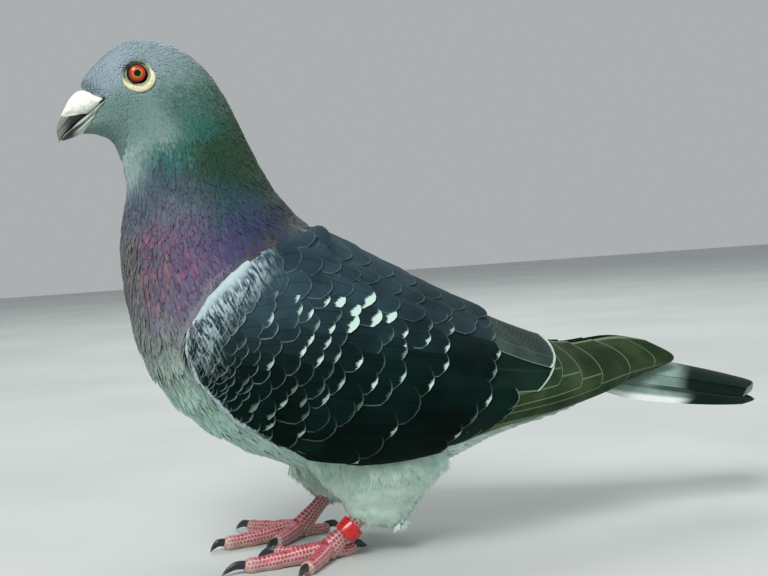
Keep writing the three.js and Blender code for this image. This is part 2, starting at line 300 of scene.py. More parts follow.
def lofted(ribs, rings, sides, shape=None):
    """A closed form through ribs. Each is (x, z, x, z, half width) in millimetres, for the two points where
    it crosses the middle plane; shape bends the points, given how far along and round they are."""
    table = smooth_path(np.array(ribs), np.linspace(0, 1, rings))
    angle = np.linspace(0, 2 * math.pi, sides, endpoint=False)
    middle = (table[:, :2] + table[:, 2:4]) / 2
    reach = (table[:, 2:4] - table[:, :2]) / 2
    half = np.maximum(table[:, 4], 0)
    half[[0, -1]] = 0
    reach[[0, -1]] = 0
    flat = middle[:, None] + reach[:, None] * np.cos(angle)[None, :, None]
    points = np.stack([flat[..., 0], half[:, None] * np.sin(angle), flat[..., 1]], axis=-1) * MM
    if shape:
        points = shape(points, np.linspace(0, 1, rings)[:, None], angle[None])
    form = bmesh.new()
    add_tube(form, points)
    return form


def join_rows(form, rows):
    """Adds the faces between one row of points and the next to a bmesh; each row is a closed ring."""
    for row, after in zip(rows, rows[1:]):
        for k in range(len(row)):
            form.faces.new((row[k], row[(k + 1) % len(row)], after[(k + 1) % len(row)], after[k]))


def add_tube(form, points):
    """Adds a closed tube through rings of points to a bmesh; the first and the last ring are its ends."""
    sides = points.shape[1]
    rows = [[form.verts.new(point) for point in row] for row in points[1:-1]]
    ends = [form.verts.new(points[0, 0]), form.verts.new(points[-1, 0])]
    join_rows(form, rows)
    for end, row in zip(ends, (rows[0], rows[-1])):
        for k in range(sides):
            form.faces.new((end, row[k], row[(k + 1) % sides]))


def finished(form, name):
    """A smooth-shaded mesh of a bmesh, which is freed, with its faces turned outward."""
    bmesh.ops.recalc_face_normals(form, faces=form.faces)
    mesh = bpy.data.meshes.new(name)
    form.to_mesh(mesh)
    form.free()
    mesh.shade_smooth()
    return mesh


# Feathered skin that laps over the root of the lower bill, and the full forehead over the cere.
CHIN_RIBS = [
    (-149.6, 187.6, -149.6, 187.8, 0.0), (-148.0, 187.2, -147.4, 190.0, 4.0),
    (-143.9, 187.6, -142.6, 193.9, 5.9), (-140.5, 187.0, -139.2, 196.9, 7.2),
    (-136.5, 186.2, -135.4, 200.2, 8.7), (-131, 187, -130, 202, 9.6), (-126, 194, -126, 196, 0.0)]
FOREHEAD_RIBS = [
    (-144.6, 204.4, -140, 203.5, 0.0), (-146.6, 206.4, -136, 205, 4.8), (-145.6, 209.2, -134, 208, 6.8),
    (-143.9, 211.9, -132, 211, 7.6), (-141.6, 214.7, -130, 214, 7.4), (-138.0, 217.9, -128, 216, 6.4),
    (-134.0, 220.6, -126, 217, 5.0), (-131, 221.6, -127, 219, 0.0)]
# The feathered boot on the front of the right shank, and how far to the side it stands.
BOOT_RIBS = [
    (-63, 42, -50, 47, 0.0), (-65.0, 36.5, -44, 44, 6.0), (-62.8, 31.0, -41, 38, 6.8),
    (-59.3, 26.0, -39, 32, 6.2), (-55.6, 21.5, -38, 27, 5.2), (-52.8, 18.8, -40, 22, 4.2),
    (-50.5, 17.6, -43, 18.6, 0.0)]
BOOT_SIDE = 26 * MM
# Where the feathers end towards the bill: (z, x) in millimetres from chin to forehead.
BILL_EDGE = np.array([
    (186, -149), (187.4, -147.7), (188.2, -146.9), (190, -143.9), (191.6, -141.2), (193.4, -143.2),
    (194.6, -144.2), (196, -142.9), (197.8, -140.5), (199.6, -137.5), (200.9, -135.2), (201.1, -137.3),
    (201.8, -139.3), (204.2, -143.1), (205.2, -145.8), (206.5, -147.6)])
BILL_EDGE_PINCH, BILL_EDGE_FADE = 0.45, 1.6 * MM      # how much narrower the flesh is past it, and how soon
# How much higher than its node the vent lies: (x, rise).
VENT_RISE = np.array([
    (-12, 0), (4, 2.2), (14, 4.6), (25, 6.8), (36, 8), (50, 7.5), (66, 5.5), (85, 3)]) * MM


def past_bill_edge(points):
    """How far points lie on the bill's side of the feathers' edge, in metres."""
    return np.interp(points[:, 2] / MM, *BILL_EDGE.T) * MM - points[:, 0]


axis_points = smooth_path(BODY_AXIS, np.linspace(0, 1, 500))
axis_steps = np.linalg.norm(np.diff(axis_points, axis=0), axis=1)
axis_shares = np.concatenate([[0], np.cumsum(axis_steps)]) / axis_steps.sum()
axis_tangents = unit(np.gradient(axis_points, axis=0))


def place_on_body(points):
    """Where points lie on the body: their share along its axis from the bill, how far round from the
    throat and belly line (0) to the nape and back line (1), their signed angle round it, and the axis'
    tangent."""
    blocks = np.array_split(points, 1 + len(points) // 4000)
    nearest = np.concatenate([((block[:, None] - axis_points) ** 2).sum(2).argmin(1) for block in blocks])
    tangent = axis_tangents[nearest]
    away = unit(points - axis_points[nearest])
    ventral = np.stack([tangent[:, 2], np.zeros(len(points)), -tangent[:, 0]], axis=1)
    turn = np.arctan2(away[:, 1], (away * ventral).sum(1))
    return axis_shares[nearest], np.abs(turn) / math.pi, turn, tangent


flesh = merged_form(FLESH_NODES, SEAM_CLOSING)
flesh.from_mesh(finished(lofted(CHIN_RIBS, 24, 32), "chin"))
flesh.from_mesh(finished(lofted(FOREHEAD_RIBS, 24, 32), "forehead"))
flesh.from_mesh(finished(lofted(BOOT_RIBS, 24, 32, lambda points, *_: points + (0, BOOT_SIDE, 0)), "boot"))
outline = fused(flesh, FUSE_STEP, SOFTENING_ROUNDS)
outline_points, outline_normals = (vectors_of(outline.vertices, name) for name in ("co", "normal"))
outline_points[:, 1] *= 1 - BILL_EDGE_PINCH * np.clip(past_bill_edge(outline_points) / BILL_EDGE_FADE, 0, 1)
vent = np.interp(outline_points[:, 0], *VENT_RISE.T)
outline_points[:, 2] += vent * np.clip((0.5 - place_on_body(outline_points)[1]) / 0.25, 0, 1)
outline.vertices.foreach_set("co", outline_points.ravel())
outline_along, outline_around = place_on_body(outline_points)[:2]


# How far the bare skin round the eye reaches: degrees (0 behind the eye, 90 above it), millimetres.
EYE_MIDDLE = np.array([-123.2, 210.1]) * MM
ORBIT_BEARINGS = [-180, -155, -110, -84, -50, -17, 20, 60, 100, 140, 180]
ORBIT_REACH = [6.5, 7.2, 7.3, 7.6, 7.6, 7.5, 6.2, 5.9, 5.9, 6.0, 6.5]
EYE_SOCKET_DEPTH = 3.2 * MM


def within_orbit(points):
    """How far points lie inside the edge of the bare skin round the eye, seen from the side, in metres."""
    from_eye = points[:, [0, 2]] - EYE_MIDDLE
    bearing = np.degrees(np.arctan2(from_eye[:, 1], from_eye[:, 0]))
    return np.interp(bearing, ORBIT_BEARINGS, ORBIT_REACH) * MM - np.hypot(*from_eye.T)


# The front edge of the folded wing seen from the side, from the back down over the wrist to the belly.
WING_FRONT = np.array([(-62, 139.5), (-85, 132.1), (-103, 117.9), (-112.6, 104.3), (-113.9, 97), (-110.4, 85),
                       (-96.3, 67), (-77, 54.3)]) * MM
FRONT_INWARD = unit(np.diff(WING_FRONT, axis=0))[:, ::-1] * (-1, 1)
FRONT_LEVELS = (FRONT_INWARD * WING_FRONT[:-1]).sum(1)


def behind_front(points):
    """How far points lie behind the wing's front edge, seen from the side, in metres."""
    return (points[..., [0, 2]] @ FRONT_INWARD.T - FRONT_LEVELS).min(-1)


def coat_depth(along):
    """How thick the plumage is at a share along the body: thin on the face, thicker on the trunk."""
    return np.interp(along, [0, 0.03, 0.12, 0.2, 0.4], [0.3 * MM, 0.35 * MM, 0.5 * MM, 0.9 * MM, 1.5 * MM])


skin_mesh = outline.copy()
skin_mesh.name = "skin"
skin_points = outline_points - outline_normals * coat_depth(outline_along)[:, None]
socket = np.clip(within_orbit(outline_points) / (1.2 * MM), 0, 1)
skin_points[:, 1] -= np.sign(skin_points[:, 1]) * socket * EYE_SOCKET_DEPTH
skin_mesh.vertices.foreach_set("co", skin_points.ravel())


def give_values(mesh, **values):
    """Stores arrays of one value or one vector for each point of a mesh."""
    for name, array in values.items():
        array = np.asarray(array, dtype=np.float32)
        kind, key = ("FLOAT_VECTOR", "vector") if array.ndim == 2 else ("FLOAT", "value")
        mesh.attributes.new(name, kind, "POINT").data.foreach_set(key, array.ravel())


give_values(skin_mesh, along=outline_along, around=outline_around, seed=np.full(len(outline_points), 0.5))
skin = new_piece("skin", skin_mesh)
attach(skin, "root")
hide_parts(*FLESH_NODES)


# ------------------------------------------------------------------ small feathers of head, neck and body
# Contour feathers clothe the skin from the bill to the tail. Each is a thin closed vane, rooted in
# the skin, that lies over the next ones towards the tail; they are smallest on the face.
AXIS_LINES = [0.0, 0.35, 0.61, 1.0]     # throat and belly, front of the side, back of the side, nape and back
CROWN, HIND_CROWN, EAR, CHEEK, CHIN, THROAT = "a0b3c0", "7b9b96", "48726a", "7f9f99", "83a29b", "b6cfce"
TEAL, DEEP_TEAL, DARK_GREEN, NAPE_OLIVE = "286e66", "1b4b49", "1a472f", "3d573f"
STEEL, VIOLET, MAUVE, NAPE_BROWN, GREY_VIOLET = "365364", "343c66", "6a5f80", "484c46", "626c80"
BREAST_GREY, LOWER_BREAST, BELLY, VENT = "7b807f", "869a90", "aecfc3", "cfe2da"
MANTLE, RUMP = "3a4f57", "7c8d8f"
# These colours are partly the plumage's own and partly painted light: crown, throat and breast front are
# painted lighter, as if lit, and the back of the neck darker, as if shaded.
PLUMAGE_AND_PAINTED_LIGHT = [
    # share along the body and colour, for each of these lines
    [(0.0, CHIN), (0.13, CHIN), (0.16, THROAT), (0.195, THROAT), (0.235, GREY_VIOLET), (0.28, BREAST_GREY),
     (0.34, BREAST_GREY), (0.385, LOWER_BREAST), (0.43, BELLY), (0.7, BELLY), (0.85, VENT)],
    [(0.0, CHEEK), (0.145, CHEEK), (0.165, CHIN), (0.19, TEAL), (0.215, STEEL), (0.25, GREY_VIOLET),
     (0.28, MAUVE), (0.345, MAUVE), (0.39, BREAST_GREY), (0.43, LOWER_BREAST), (0.5, BELLY), (0.85, VENT)],
    [(0.0, CROWN), (0.07, CROWN), (0.11, HIND_CROWN), (0.14, EAR), (0.17, TEAL), (0.195, DARK_GREEN),
     (0.225, DARK_GREEN), (0.245, DEEP_TEAL), (0.275, STEEL), (0.32, VIOLET), (0.35, NAPE_BROWN),
     (0.38, MANTLE), (0.6, MANTLE), (0.8, RUMP)],
    [(0.0, CROWN), (0.09, CROWN), (0.125, HIND_CROWN), (0.16, NAPE_OLIVE), (0.26, NAPE_OLIVE),
     (0.29, NAPE_BROWN), (0.34, NAPE_BROWN), (0.375, MANTLE), (0.62, MANTLE), (0.8, RUMP)]]
FLECKS = [
    # colour, from and to along the body, from and to round it, how many of the feathers have it, how strongly
    ("a5507c", 0.255, 0.36, 0.12, 0.46, 0.22, 0.42), ("b5826c", 0.265, 0.36, 0.05, 0.36, 0.16, 0.42),
    ("23897e", 0.16, 0.225, 0.32, 0.60, 0.25, 0.5), ("583f80", 0.27, 0.37, 0.36, 0.68, 0.22, 0.5),
    ("7e5488", 0.215, 0.26, 0.15, 0.42, 0.20, 0.4), ("2a3438", 0.19, 0.40, 0.05, 0.95, 0.12, 0.4)]


def plumage_finish(name, **settings):
    """The finish shared by skin and feathers: its colours lie along and round the body, with odd feathers
    of another one."""
    material, tree, shader = new_material(name, **settings)
    along, around, seed = tree.value("along"), tree.value("around"), tree.value("seed")
    place = tree.place()
    drift = (place.noise(70.0, 3.0) - 0.5) * 0.05
    shifted = along + drift + (seed - 0.5) * 0.02
    lines = [shifted.ramp([(share, rgb(text)) for share, text in stops]) for stops in PLUMAGE_AND_PAINTED_LIGHT]
    round_shifted = around + (place.noise(110.0) - 0.5) * 0.12
    colour = lines[0]
    for low, high, line in zip(AXIS_LINES, AXIS_LINES[1:], lines[1:]):
        colour = round_shifted.between(low, high).toward(colour, line)
    for number, (fleck, start, end, low, high, amount, strength) in enumerate(FLECKS):
        within = shifted.between(start, start + 0.03) * shifted.between(end, end - 0.03)
        within = within * round_shifted.between(low, low + 0.1) * round_shifted.between(high, high - 0.1)
        odd = (seed * (7.0 + 3 * number)).apply("FRACT").between(1 - amount * 1.3, 1 - amount)
        colour = (within * odd * strength).toward(colour, rgb(fleck))
    return material, tree, shader, colour, along, seed


def vane_mesh(name, rows, thickness, droop, bend, strands=((0.0, 0.0),)):
    """A closed vane one unit long and wide, lying along Y: rows of (share of length, half width), how far
    its edges droop below its shaft and how far its tip bends down. Strands give the sideways place of the
    root and the sideways lean of each part of a loose one."""
    vertices, faces, rim = [], [], set()
    for root_x, lean in strands:
        base = len(vertices)
        for share, half in rows:
            middle = root_x + lean * share
            low = -bend * share ** 2
            for x, z in ((-half, -droop), (0, thickness / 2), (half, -droop), (0, -thickness / 2)):
                vertices.append((middle + x, share, low + z))
        vertices.append((root_x + lean, 1.0, -bend - droop * 0.5))
        tip = len(vertices) - 1
        rim.update(index for index in range(base, tip) if (index - base) % 2 == 0)
        rim.add(tip)
        faces.append((base, base + 1, base + 2, base + 3))
        for row in range(len(rows) - 1):
            low, high = base + row * 4, base + row * 4 + 4
            for k in range(4):
                faces.append((low + (k + 1) % 4, low + k, high + k, high + (k + 1) % 4))
        end = base + (len(rows) - 1) * 4
        faces += [(end + (k + 1) % 4, end + k, tip) for k in range(4)]
    mesh = bpy.data.meshes.new(name)
    mesh.from_pydata(vertices, [], faces)
    form = bmesh.new()
    form.from_mesh(mesh)
    bmesh.ops.recalc_face_normals(form, faces=form.faces)
    form.to_mesh(mesh)
    form.free()
    mesh.shade_smooth()
    for edge in mesh.edges:
        edge.use_edge_sharp = all(index in rim for index in edge.vertices)
    layer = mesh.uv_layers.new(name="vane")
    for loop in mesh.loops:
        x, y, _ = mesh.vertices[loop.vertex_index].co
        layer.uv[loop.index].vector = (x + 0.5, y)
    return mesh


def coat_tree():
    """Geometry nodes that set a vane on every root, turned and sized by the root's values, and give each
    its own patch of the unwrap."""
    group = bpy.data.node_groups.new("coat", "GeometryNodeTree")
    for name, kind in (("Roots", "Geometry"), ("Vane", "Object"), ("Finish", "Material"), ("Patch", "Float")):
        group.interface.new_socket(name, in_out="INPUT", socket_type="NodeSocket" + kind)
    group.interface.new_socket("Coat", in_out="OUTPUT", socket_type="NodeSocketGeometry")
    start = group.nodes.new("NodeGroupInput")
    roots, vane, finish, patch_size = (Socket(group, output) for output in list(start.outputs)[:4])
    turn, size, own_place, patch_corner = (
        roots.node("GeometryNodeInputNamedAttribute", {"data_type": "FLOAT_VECTOR"}, i0=name)
        for name in ("turn", "size", "vane", "patch"))
    shape = roots.node("GeometryNodeObjectInfo", output=4, i0=vane)
    placed = roots.node("GeometryNodeInstanceOnPoints", i0=roots, i2=shape, i5=turn, i6=size)
    solid = roots.node("GeometryNodeRealizeInstances", i0=placed)
    place = roots.node("ShaderNodeVectorMath", {"operation": "ADD"}, i0=own_place.scaled(patch_size),
                       i1=patch_corner)
    unwrapped = roots.node("GeometryNodeStoreNamedAttribute", {"data_type": "FLOAT2", "domain": "CORNER"},
                           i0=solid, i2="OFBake", i3=place)
    clad = roots.node("GeometryNodeSetMaterial", i0=unwrapped, i2=finish)
    end = group.nodes.new("NodeGroupOutput")
    group.links.new(clad.socket, end.inputs[0])
    return group


coat_group = coat_tree()
UNWRAP_PATCH = 0.003    # the size of a vane's patch of the unwrap


def grow_coat(name, roots, vane, material):
    """Lays one coat piece: a vane on each root, made plain mesh."""
    points_mesh = bpy.data.meshes.new(name)
    points_mesh.from_pydata([tuple(p) for p in roots.pop("place")], [], [])
    give_values(points_mesh, **roots)
    grower = new_piece(name + "_roots", points_mesh)
    vane_piece = new_piece(name + "_vane", vane)
    modifier = grower.modifiers.new("coat", "NODES")
    modifier.node_group = coat_group
    values = {"Vane": vane_piece, "Finish": material, "Patch": UNWRAP_PATCH}
    for item in coat_group.interface.items_tree:
        if item.name in values:
            modifier[item.identifier] = values[item.name]
    mesh = plain_mesh(grower)
    bpy.data.objects.remove(vane_piece)
    for spent in ("turn", "size", "patch"):
        mesh.attributes.remove(mesh.attributes[spent])
    piece = new_piece(name, mesh)
    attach(piece, "root")
    return piece


def turns_of(across, lie, normal):
    """Euler turns that bring X, Y and Z onto the three directions."""
    return np.stack([np.arctan2(lie[:, 2], normal[:, 2]), np.arcsin(np.clip(-across[:, 2], -1, 1)),
                     np.arctan2(across[:, 1], across[:, 0])], axis=1)


outline.calc_loop_triangles()
triangles = np.empty(len(outline.loop_triangles) * 3, dtype=np.int32)
outline.loop_triangles.foreach_get("vertices", triangles)
triangles = triangles.reshape(-1, 3)
triangle_corners = outline_points[triangles]
triangle_areas = np.linalg.norm(np.cross(triangle_corners[:, 1] - triangle_corners[:, 0],
                                         triangle_corners[:, 2] - triangle_corners[:, 0]), axis=1) / 2
triangle_along = outline_along[triangles].mean(1)
triangle_around = outline_around[triangles].mean(1)
flesh_forms = {name: BVHTree.FromBMesh(merged_form([name])) for name in FLESH_NODES}
triangle_centres = triangle_corners.mean(1)
distances = np.array([[flesh_forms[name].find_nearest(Vector(centre))[3] for name in FLESH_NODES]
                      for centre in triangle_centres])
triangle_node = np.array(FLESH_NODES)[distances.argmin(1)]


TRIES_PER_PLACE = 3.0
CLOSEST = 0.78          # how near two roots may come, as a share of their spacing


def scatter(chosen, spacing, seed):
    """Points spread over chosen triangles of the outline, none closer than its own spacing allows."""
    draws = np.random.default_rng(seed)
    room = triangle_areas[chosen] / spacing[chosen] ** 2
    count = int(room.sum() * TRIES_PER_PLACE)
    picked = chosen[draws.choice(len(chosen), count, p=room / room.sum())]
    first, second = draws.random(count), draws.random(count)
    folded = first + second > 1
    first[folded], second[folded] = 1 - first[folded], 1 - second[folded]
    weights = np.stack([1 - first - second, first, second], axis=1)[:, :, None]
    places = (outline_points[triangles[picked]] * weights).sum(1)
    normals = unit((outline_normals[triangles[picked]] * weights).sum(1))
    cell = spacing[chosen].max()
    taken, kept = {}, []
    reach = spacing[picked] * CLOSEST
    for index, (place, gap) in enumerate(zip(places.tolist(), reach.tolist())):
        x, y, z = (int(part // cell) for part in place)
        near = (other for i in (-1, 0, 1) for j in (-1, 0, 1) for k in (-1, 0, 1)
                for other in taken.get((x + i, y + j, z + k), ()))
        if all((place[0] - o[0]) ** 2 + (place[1] - o[1]) ** 2 + (place[2] - o[2]) ** 2 > gap * gap
               for o in near):
            taken.setdefault((x, y, z), []).append(place)
            kept.append(index)
    return places[kept], normals[kept]


def coat_roots(chosen, spacing, length, width, seed, lie_of=None, lift=1.0, untidy=0.1):
    """Roots of a coat on chosen triangles, with the turn, size and place on the body of each vane. Spacing
    is given for each triangle; length and width lie along the body. Lift is how much of the coat's depth
    a vane rises, and untidy how much the vanes' directions differ."""
    places, normals = scatter(np.flatnonzero(chosen), spacing, seed)
    covered = ~bare(places)
    places, normals = places[covered], normals[covered]
    draws = np.random.default_rng(seed + 1000)
    along, around, turn, tangent = place_on_body(places)
    lie = lie_of(places, tangent) if lie_of else tangent
    lie = lie + draws.normal(0, untidy, lie.shape)
    lie = unit(lie - normals * (lie * normals).sum(1, keepdims=True))
    depth = coat_depth(along)
    lengths = np.interp(along, *length) * draws.uniform(0.85, 1.15, len(places))
    widths = np.interp(along, *width) * draws.uniform(0.85, 1.15, len(places))
    rise = np.arcsin(np.clip(depth * lift / lengths, 0, 0.5)) * draws.uniform(0.85, 1.12, len(places))
    up = np.sin(rise)[:, None] * normals + np.cos(rise)[:, None] * lie
    over_eye = within_orbit(places + up * lengths[:, None]) > 0.6 * MM
    lengths = np.where(over_eye, lengths * 0.55, lengths)
    across = unit(np.cross(up, normals))
    out = np.cross(across, up)
    patch_u = (turn + math.pi) / (2 * math.pi) * 0.99 + 0.003
    patch_v = np.interp(along, [along.min(), along.max()], [0.004, 0.993])
    unwrap = np.stack([patch_u, patch_v, np.zeros(len(places))], axis=1)
    return {"place": places - normals * depth[:, None], "turn": turns_of(across, up, out),
            "size": np.stack([widths, lengths, widths], axis=1), "patch": unwrap,
            "along": along, "around": around, "seed": draws.random(len(places))}


def by_share(shares, values):
    """A measure that changes along the body, given in millimetres."""
    return shares, [value * MM for value in values]


skin_material, tree, shader, colour, *_ = plumage_finish("down_and_skin", Roughness=0.85)
feed(shader, "Base Color", tree.place().noise(400.0).between(0.2, 0.8).toward(colour, colour.scaled(0.8)))
skin_mesh.materials.append(skin_material)

feather_material, tree, shader, colour, along, seed = plumage_finish(
    "contour_feathers", Roughness=0.6, Specular_IOR_Level=0.25)
tip = tree.along_vane().part("Y")
contrast = 0.12 + along.between(0.12, 0.24) * 0.2
shade = 1.0 - contrast * 0.7 + (seed * 5).apply("FRACT") * contrast + tip * 0.1
shade = shade * (0.62 + along.between(0.30, 0.40) * 0.33)
feed(shader, "Base Color", colour.scaled(shade))


GAPE = np.array([(-147.1, 193.9), (-143.1, 196.8), (-138.5, 199.4), (-135.1, 201.2)]) * MM
EYE_MARGIN, GAPE_MARGIN = 0.4 * MM, 0.5 * MM
FACE_END = -0.11        # no bare place lies behind this


def bare(places):
    """Whether no feathers grow at places: round the eye, along the gape and on the bill."""
    near_eye = within_orbit(places) > EYE_MARGIN
    gape = smooth_path(GAPE, np.linspace(0, 1, 60))
    near_gape = np.linalg.norm(places[:, None, [0, 2]] - gape, axis=2).min(1) < GAPE_MARGIN
    return (near_eye | near_gape | (past_bill_edge(places) > 0)) & (places[:, 0] < FACE_END)


# Which triangles of the outline each coat grows on. The trunk is left out where the wings lie close on
# its upper half and under the tail's roots; neck and breast share the flesh ahead of the wings.
NECK_END, TUCK_START, TRUNK_END = 0.33, 0.4, 0.93        # shares along the body
TUCK_DISTANCE = 2.8 * MM
shield_columns = [FLESH_NODES.index(f"wing_{label}_shield") for label in ("left", "right")]
under_wing = distances[:, shield_columns].min(1) < TUCK_DISTANCE
tucked = (triangle_along > TUCK_START) & under_wing & (triangle_around > 0.5)
ahead_of_wing = np.char.startswith(triangle_node, "wing") & (behind_front(triangle_centres) < -0.6 * MM)
on_neck = triangle_along < NECK_END
HEAD = triangle_node == "head"
NECK = (triangle_node == "neck") | (ahead_of_wing & on_neck)
TRUNK = ((triangle_node == "trunk") & ~tucked & (triangle_along < TRUNK_END)) | (ahead_of_wing & ~on_neck)
THIGHS = (triangle_node == "thigh_left") | (triangle_node == "thigh_right")
SHORT_VANE = vane_mesh("short_vane", [(0.0, 0.25), (0.4, 0.47), (0.8, 0.38)], 0.12, 0.03, 0.05)
NARROW_VANE = vane_mesh("narrow_vane", [(0.0, 0.22), (0.35, 0.44), (0.72, 0.44), (0.92, 0.24)],
                        0.10, 0.05, 0.06)
BROAD_VANE = vane_mesh("broad_vane", [(0.0, 0.2), (0.3, 0.46), (0.7, 0.5), (0.92, 0.3)], 0.08, 0.08, 0.08)
LOOSE_VANE = vane_mesh("loose_vane", [(0.0, 0.10), (0.45, 0.15), (0.8, 0.09)], 0.14, 0.03, 0.12,
                       strands=[(-0.1, -0.42), (-0.03, -0.15), (0.03, 0.12), (0.1, 0.40)])

HEAD_SHARES, NECK_SHARES, TRUNK_SHARES = [0, 0.03, 0.08, 0.16], [0.12, 0.2, 0.36], [0.25, 0.4, 0.6, 1.0]
head_spacing = np.interp(triangle_along, *by_share(HEAD_SHARES, [0.62, 0.7, 0.85, 1.05]))
head_roots = coat_roots(HEAD, head_spacing, by_share(HEAD_SHARES, [1.5, 2.0, 2.7, 3.8]),
                        by_share(HEAD_SHARES, [0.88, 1.0, 1.18, 1.4]), seed=1, untidy=0.04, lift=0.7)
grow_coat("head_plumage", head_roots, SHORT_VANE, feather_material)
neck_spacing = np.interp(triangle_along, *by_share(NECK_SHARES, [1.0, 1.15, 1.45]))
neck_roots = coat_roots(NECK, neck_spacing, by_share(NECK_SHARES, [3.8, 5.2, 7.5]),
                        by_share(NECK_SHARES, [1.25, 1.4, 1.7]), seed=2, untidy=0.06, lift=0.7)
grow_coat("neck_plumage", neck_roots, NARROW_VANE, feather_material)
trunk_spacing = np.interp(triangle_along, *by_share(TRUNK_SHARES, [1.5, 1.8, 2.2, 2.4]))
belly_side = triangle_around < 0.5
breast_lengths = by_share([0.25, 0.4, 0.6, 0.7, 1.0], [7.0, 9, 9, 6, 5])
breast_roots = coat_roots(TRUNK & belly_side, trunk_spacing, breast_lengths,
                          by_share(TRUNK_SHARES, [1.5, 2.0, 2.6, 2.8]), seed=3, untidy=0.05, lift=0.6)
grow_coat("breast_plumage", breast_roots, NARROW_VANE, feather_material)
back_roots = coat_roots(TRUNK & ~belly_side, trunk_spacing * 1.2, by_share(TRUNK_SHARES, [8, 10, 12, 12]),
                        by_share(TRUNK_SHARES, [3.0, 4.0, 5.0, 5.0]), seed=4, untidy=0.07)
grow_coat("back_plumage", back_roots, BROAD_VANE, feather_material)


def down_the_thigh(places, tangent):
    """The lie of the thighs' feathers: down and a little backward."""
    return np.tile(unit(np.array([[0.42, 0.0, -1.0]])), (len(places), 1))


fluff_material, tree, shader = new_material("thigh_fluff", Roughness=0.8, Specular_IOR_Level=0.1)
strand = tree.value("seed")
tip = tree.along_vane().part("Y")
low = (tree.place().part("Z") * 1000).between(50, 24)
feed(shader, "Base Color", (strand * 0.5 + tip * 0.25 + low * 0.35).toward(rgb("98c3b0"), rgb("dceee5")))
thigh_roots = coat_roots(THIGHS, np.full(len(triangles), 1.7 * MM), by_share([0, 1], [9.5, 9.5]),
                         by_share([0, 1], [3.0, 3.0]), seed=5, lie_of=down_the_thigh, untidy=0.14)
grow_coat("thigh_plumage", thigh_roots, LOOSE_VANE, fluff_material)


# ------------------------------------------------------------------ wings
# A folded wing is a shingled shield: small coverts at the wrist, longer ones behind them, broad
# shoulder feathers over its top edge, and then the ends of the flight feathers. Every feather is a
# solid vane bent to the wing's surface, which runs through the frame's lower edge, widest line and
# upper edge of the folded wing.
WING_LOWER = np.array([
    (-107, 39.5, 80), (-97, 42.5, 67), (-81, 44, 54.5), (-56, 43.5, 47.8), (-28, 42.5, 47.3),
    (-2, 41, 50), (22, 38, 53), (45, 33, 55), (67, 27, 59), (86, 21, 63.5), (106, 14, 67.5)]) * MM
WING_WIDEST = np.array([
    (-115, 40.5, 98), (-104, 47.5, 97), (-88, 52, 94), (-62, 53.5, 91), (-36, 52.5, 87),
    (-9, 49, 82), (18, 43, 76), (44, 35, 71.5), (66, 27, 70.5), (89, 19.5, 72.5), (114, 12, 72)]) * MM
WING_UPPER = np.array([
    (-107, 37, 114), (-99, 37, 125), (-85, 33.5, 135), (-63, 21, 145), (-42, 13, 136),
    (-18, 9.5, 122.5), (10, 7.5, 107), (38, 6, 93), (60, 5.5, 85.5), (87, 6, 85.5), (111, 8, 79.5)]) * MM
WING_LENGTH_MM = 226


def run_on(line, along):
    """A smooth line, which runs on straight past both its ends."""
    held = np.clip(along, 0, 1)
    ahead = np.where((along < 0.5)[..., None], line[1] - line[0], line[-1] - line[-2]) * (len(line) - 1)
    return smooth_path(line, held) + (along - held)[..., None] * ahead


def wing_surface(along, up):
    """Points of the right wing: along from the wrist (0) to the tip (1), up from its lower edge (0) to its
    upper edge (1)."""
    lower, widest, upper = (run_on(line, along) for line in (WING_LOWER, WING_WIDEST, WING_UPPER))
    pull = 2 * widest - (lower + upper) / 2
    up = np.asarray(up)[..., None]
    return (1 - up) ** 2 * lower + 2 * up * (1 - up) * pull + up ** 2 * upper


def slopes(surface, along, up):
    """How a surface runs along and up, in metres for each unit, and its outward normal."""
    step = 1e-3
    ahead = (surface(along + step, up) - surface(along - step, up)) / (2 * step)
    rising = (surface(along, up + step) - surface(along, up - step)) / (2 * step)
    return ahead, rising, unit(np.cross(rising, ahead))


def quads(grid):
    """The four corners of each cell of a grid of vertex numbers."""
    return np.stack([grid[:-1, :-1], grid[:-1, 1:], grid[1:, 1:], grid[1:, :-1]], axis=-1).reshape(-1, 4)


# How far ahead of the wing's front edge its feathers go on sinking, and how steeply they do.
NECK_LAP, NECK_LAP_SLOPE = 2.5 * MM, 1.8


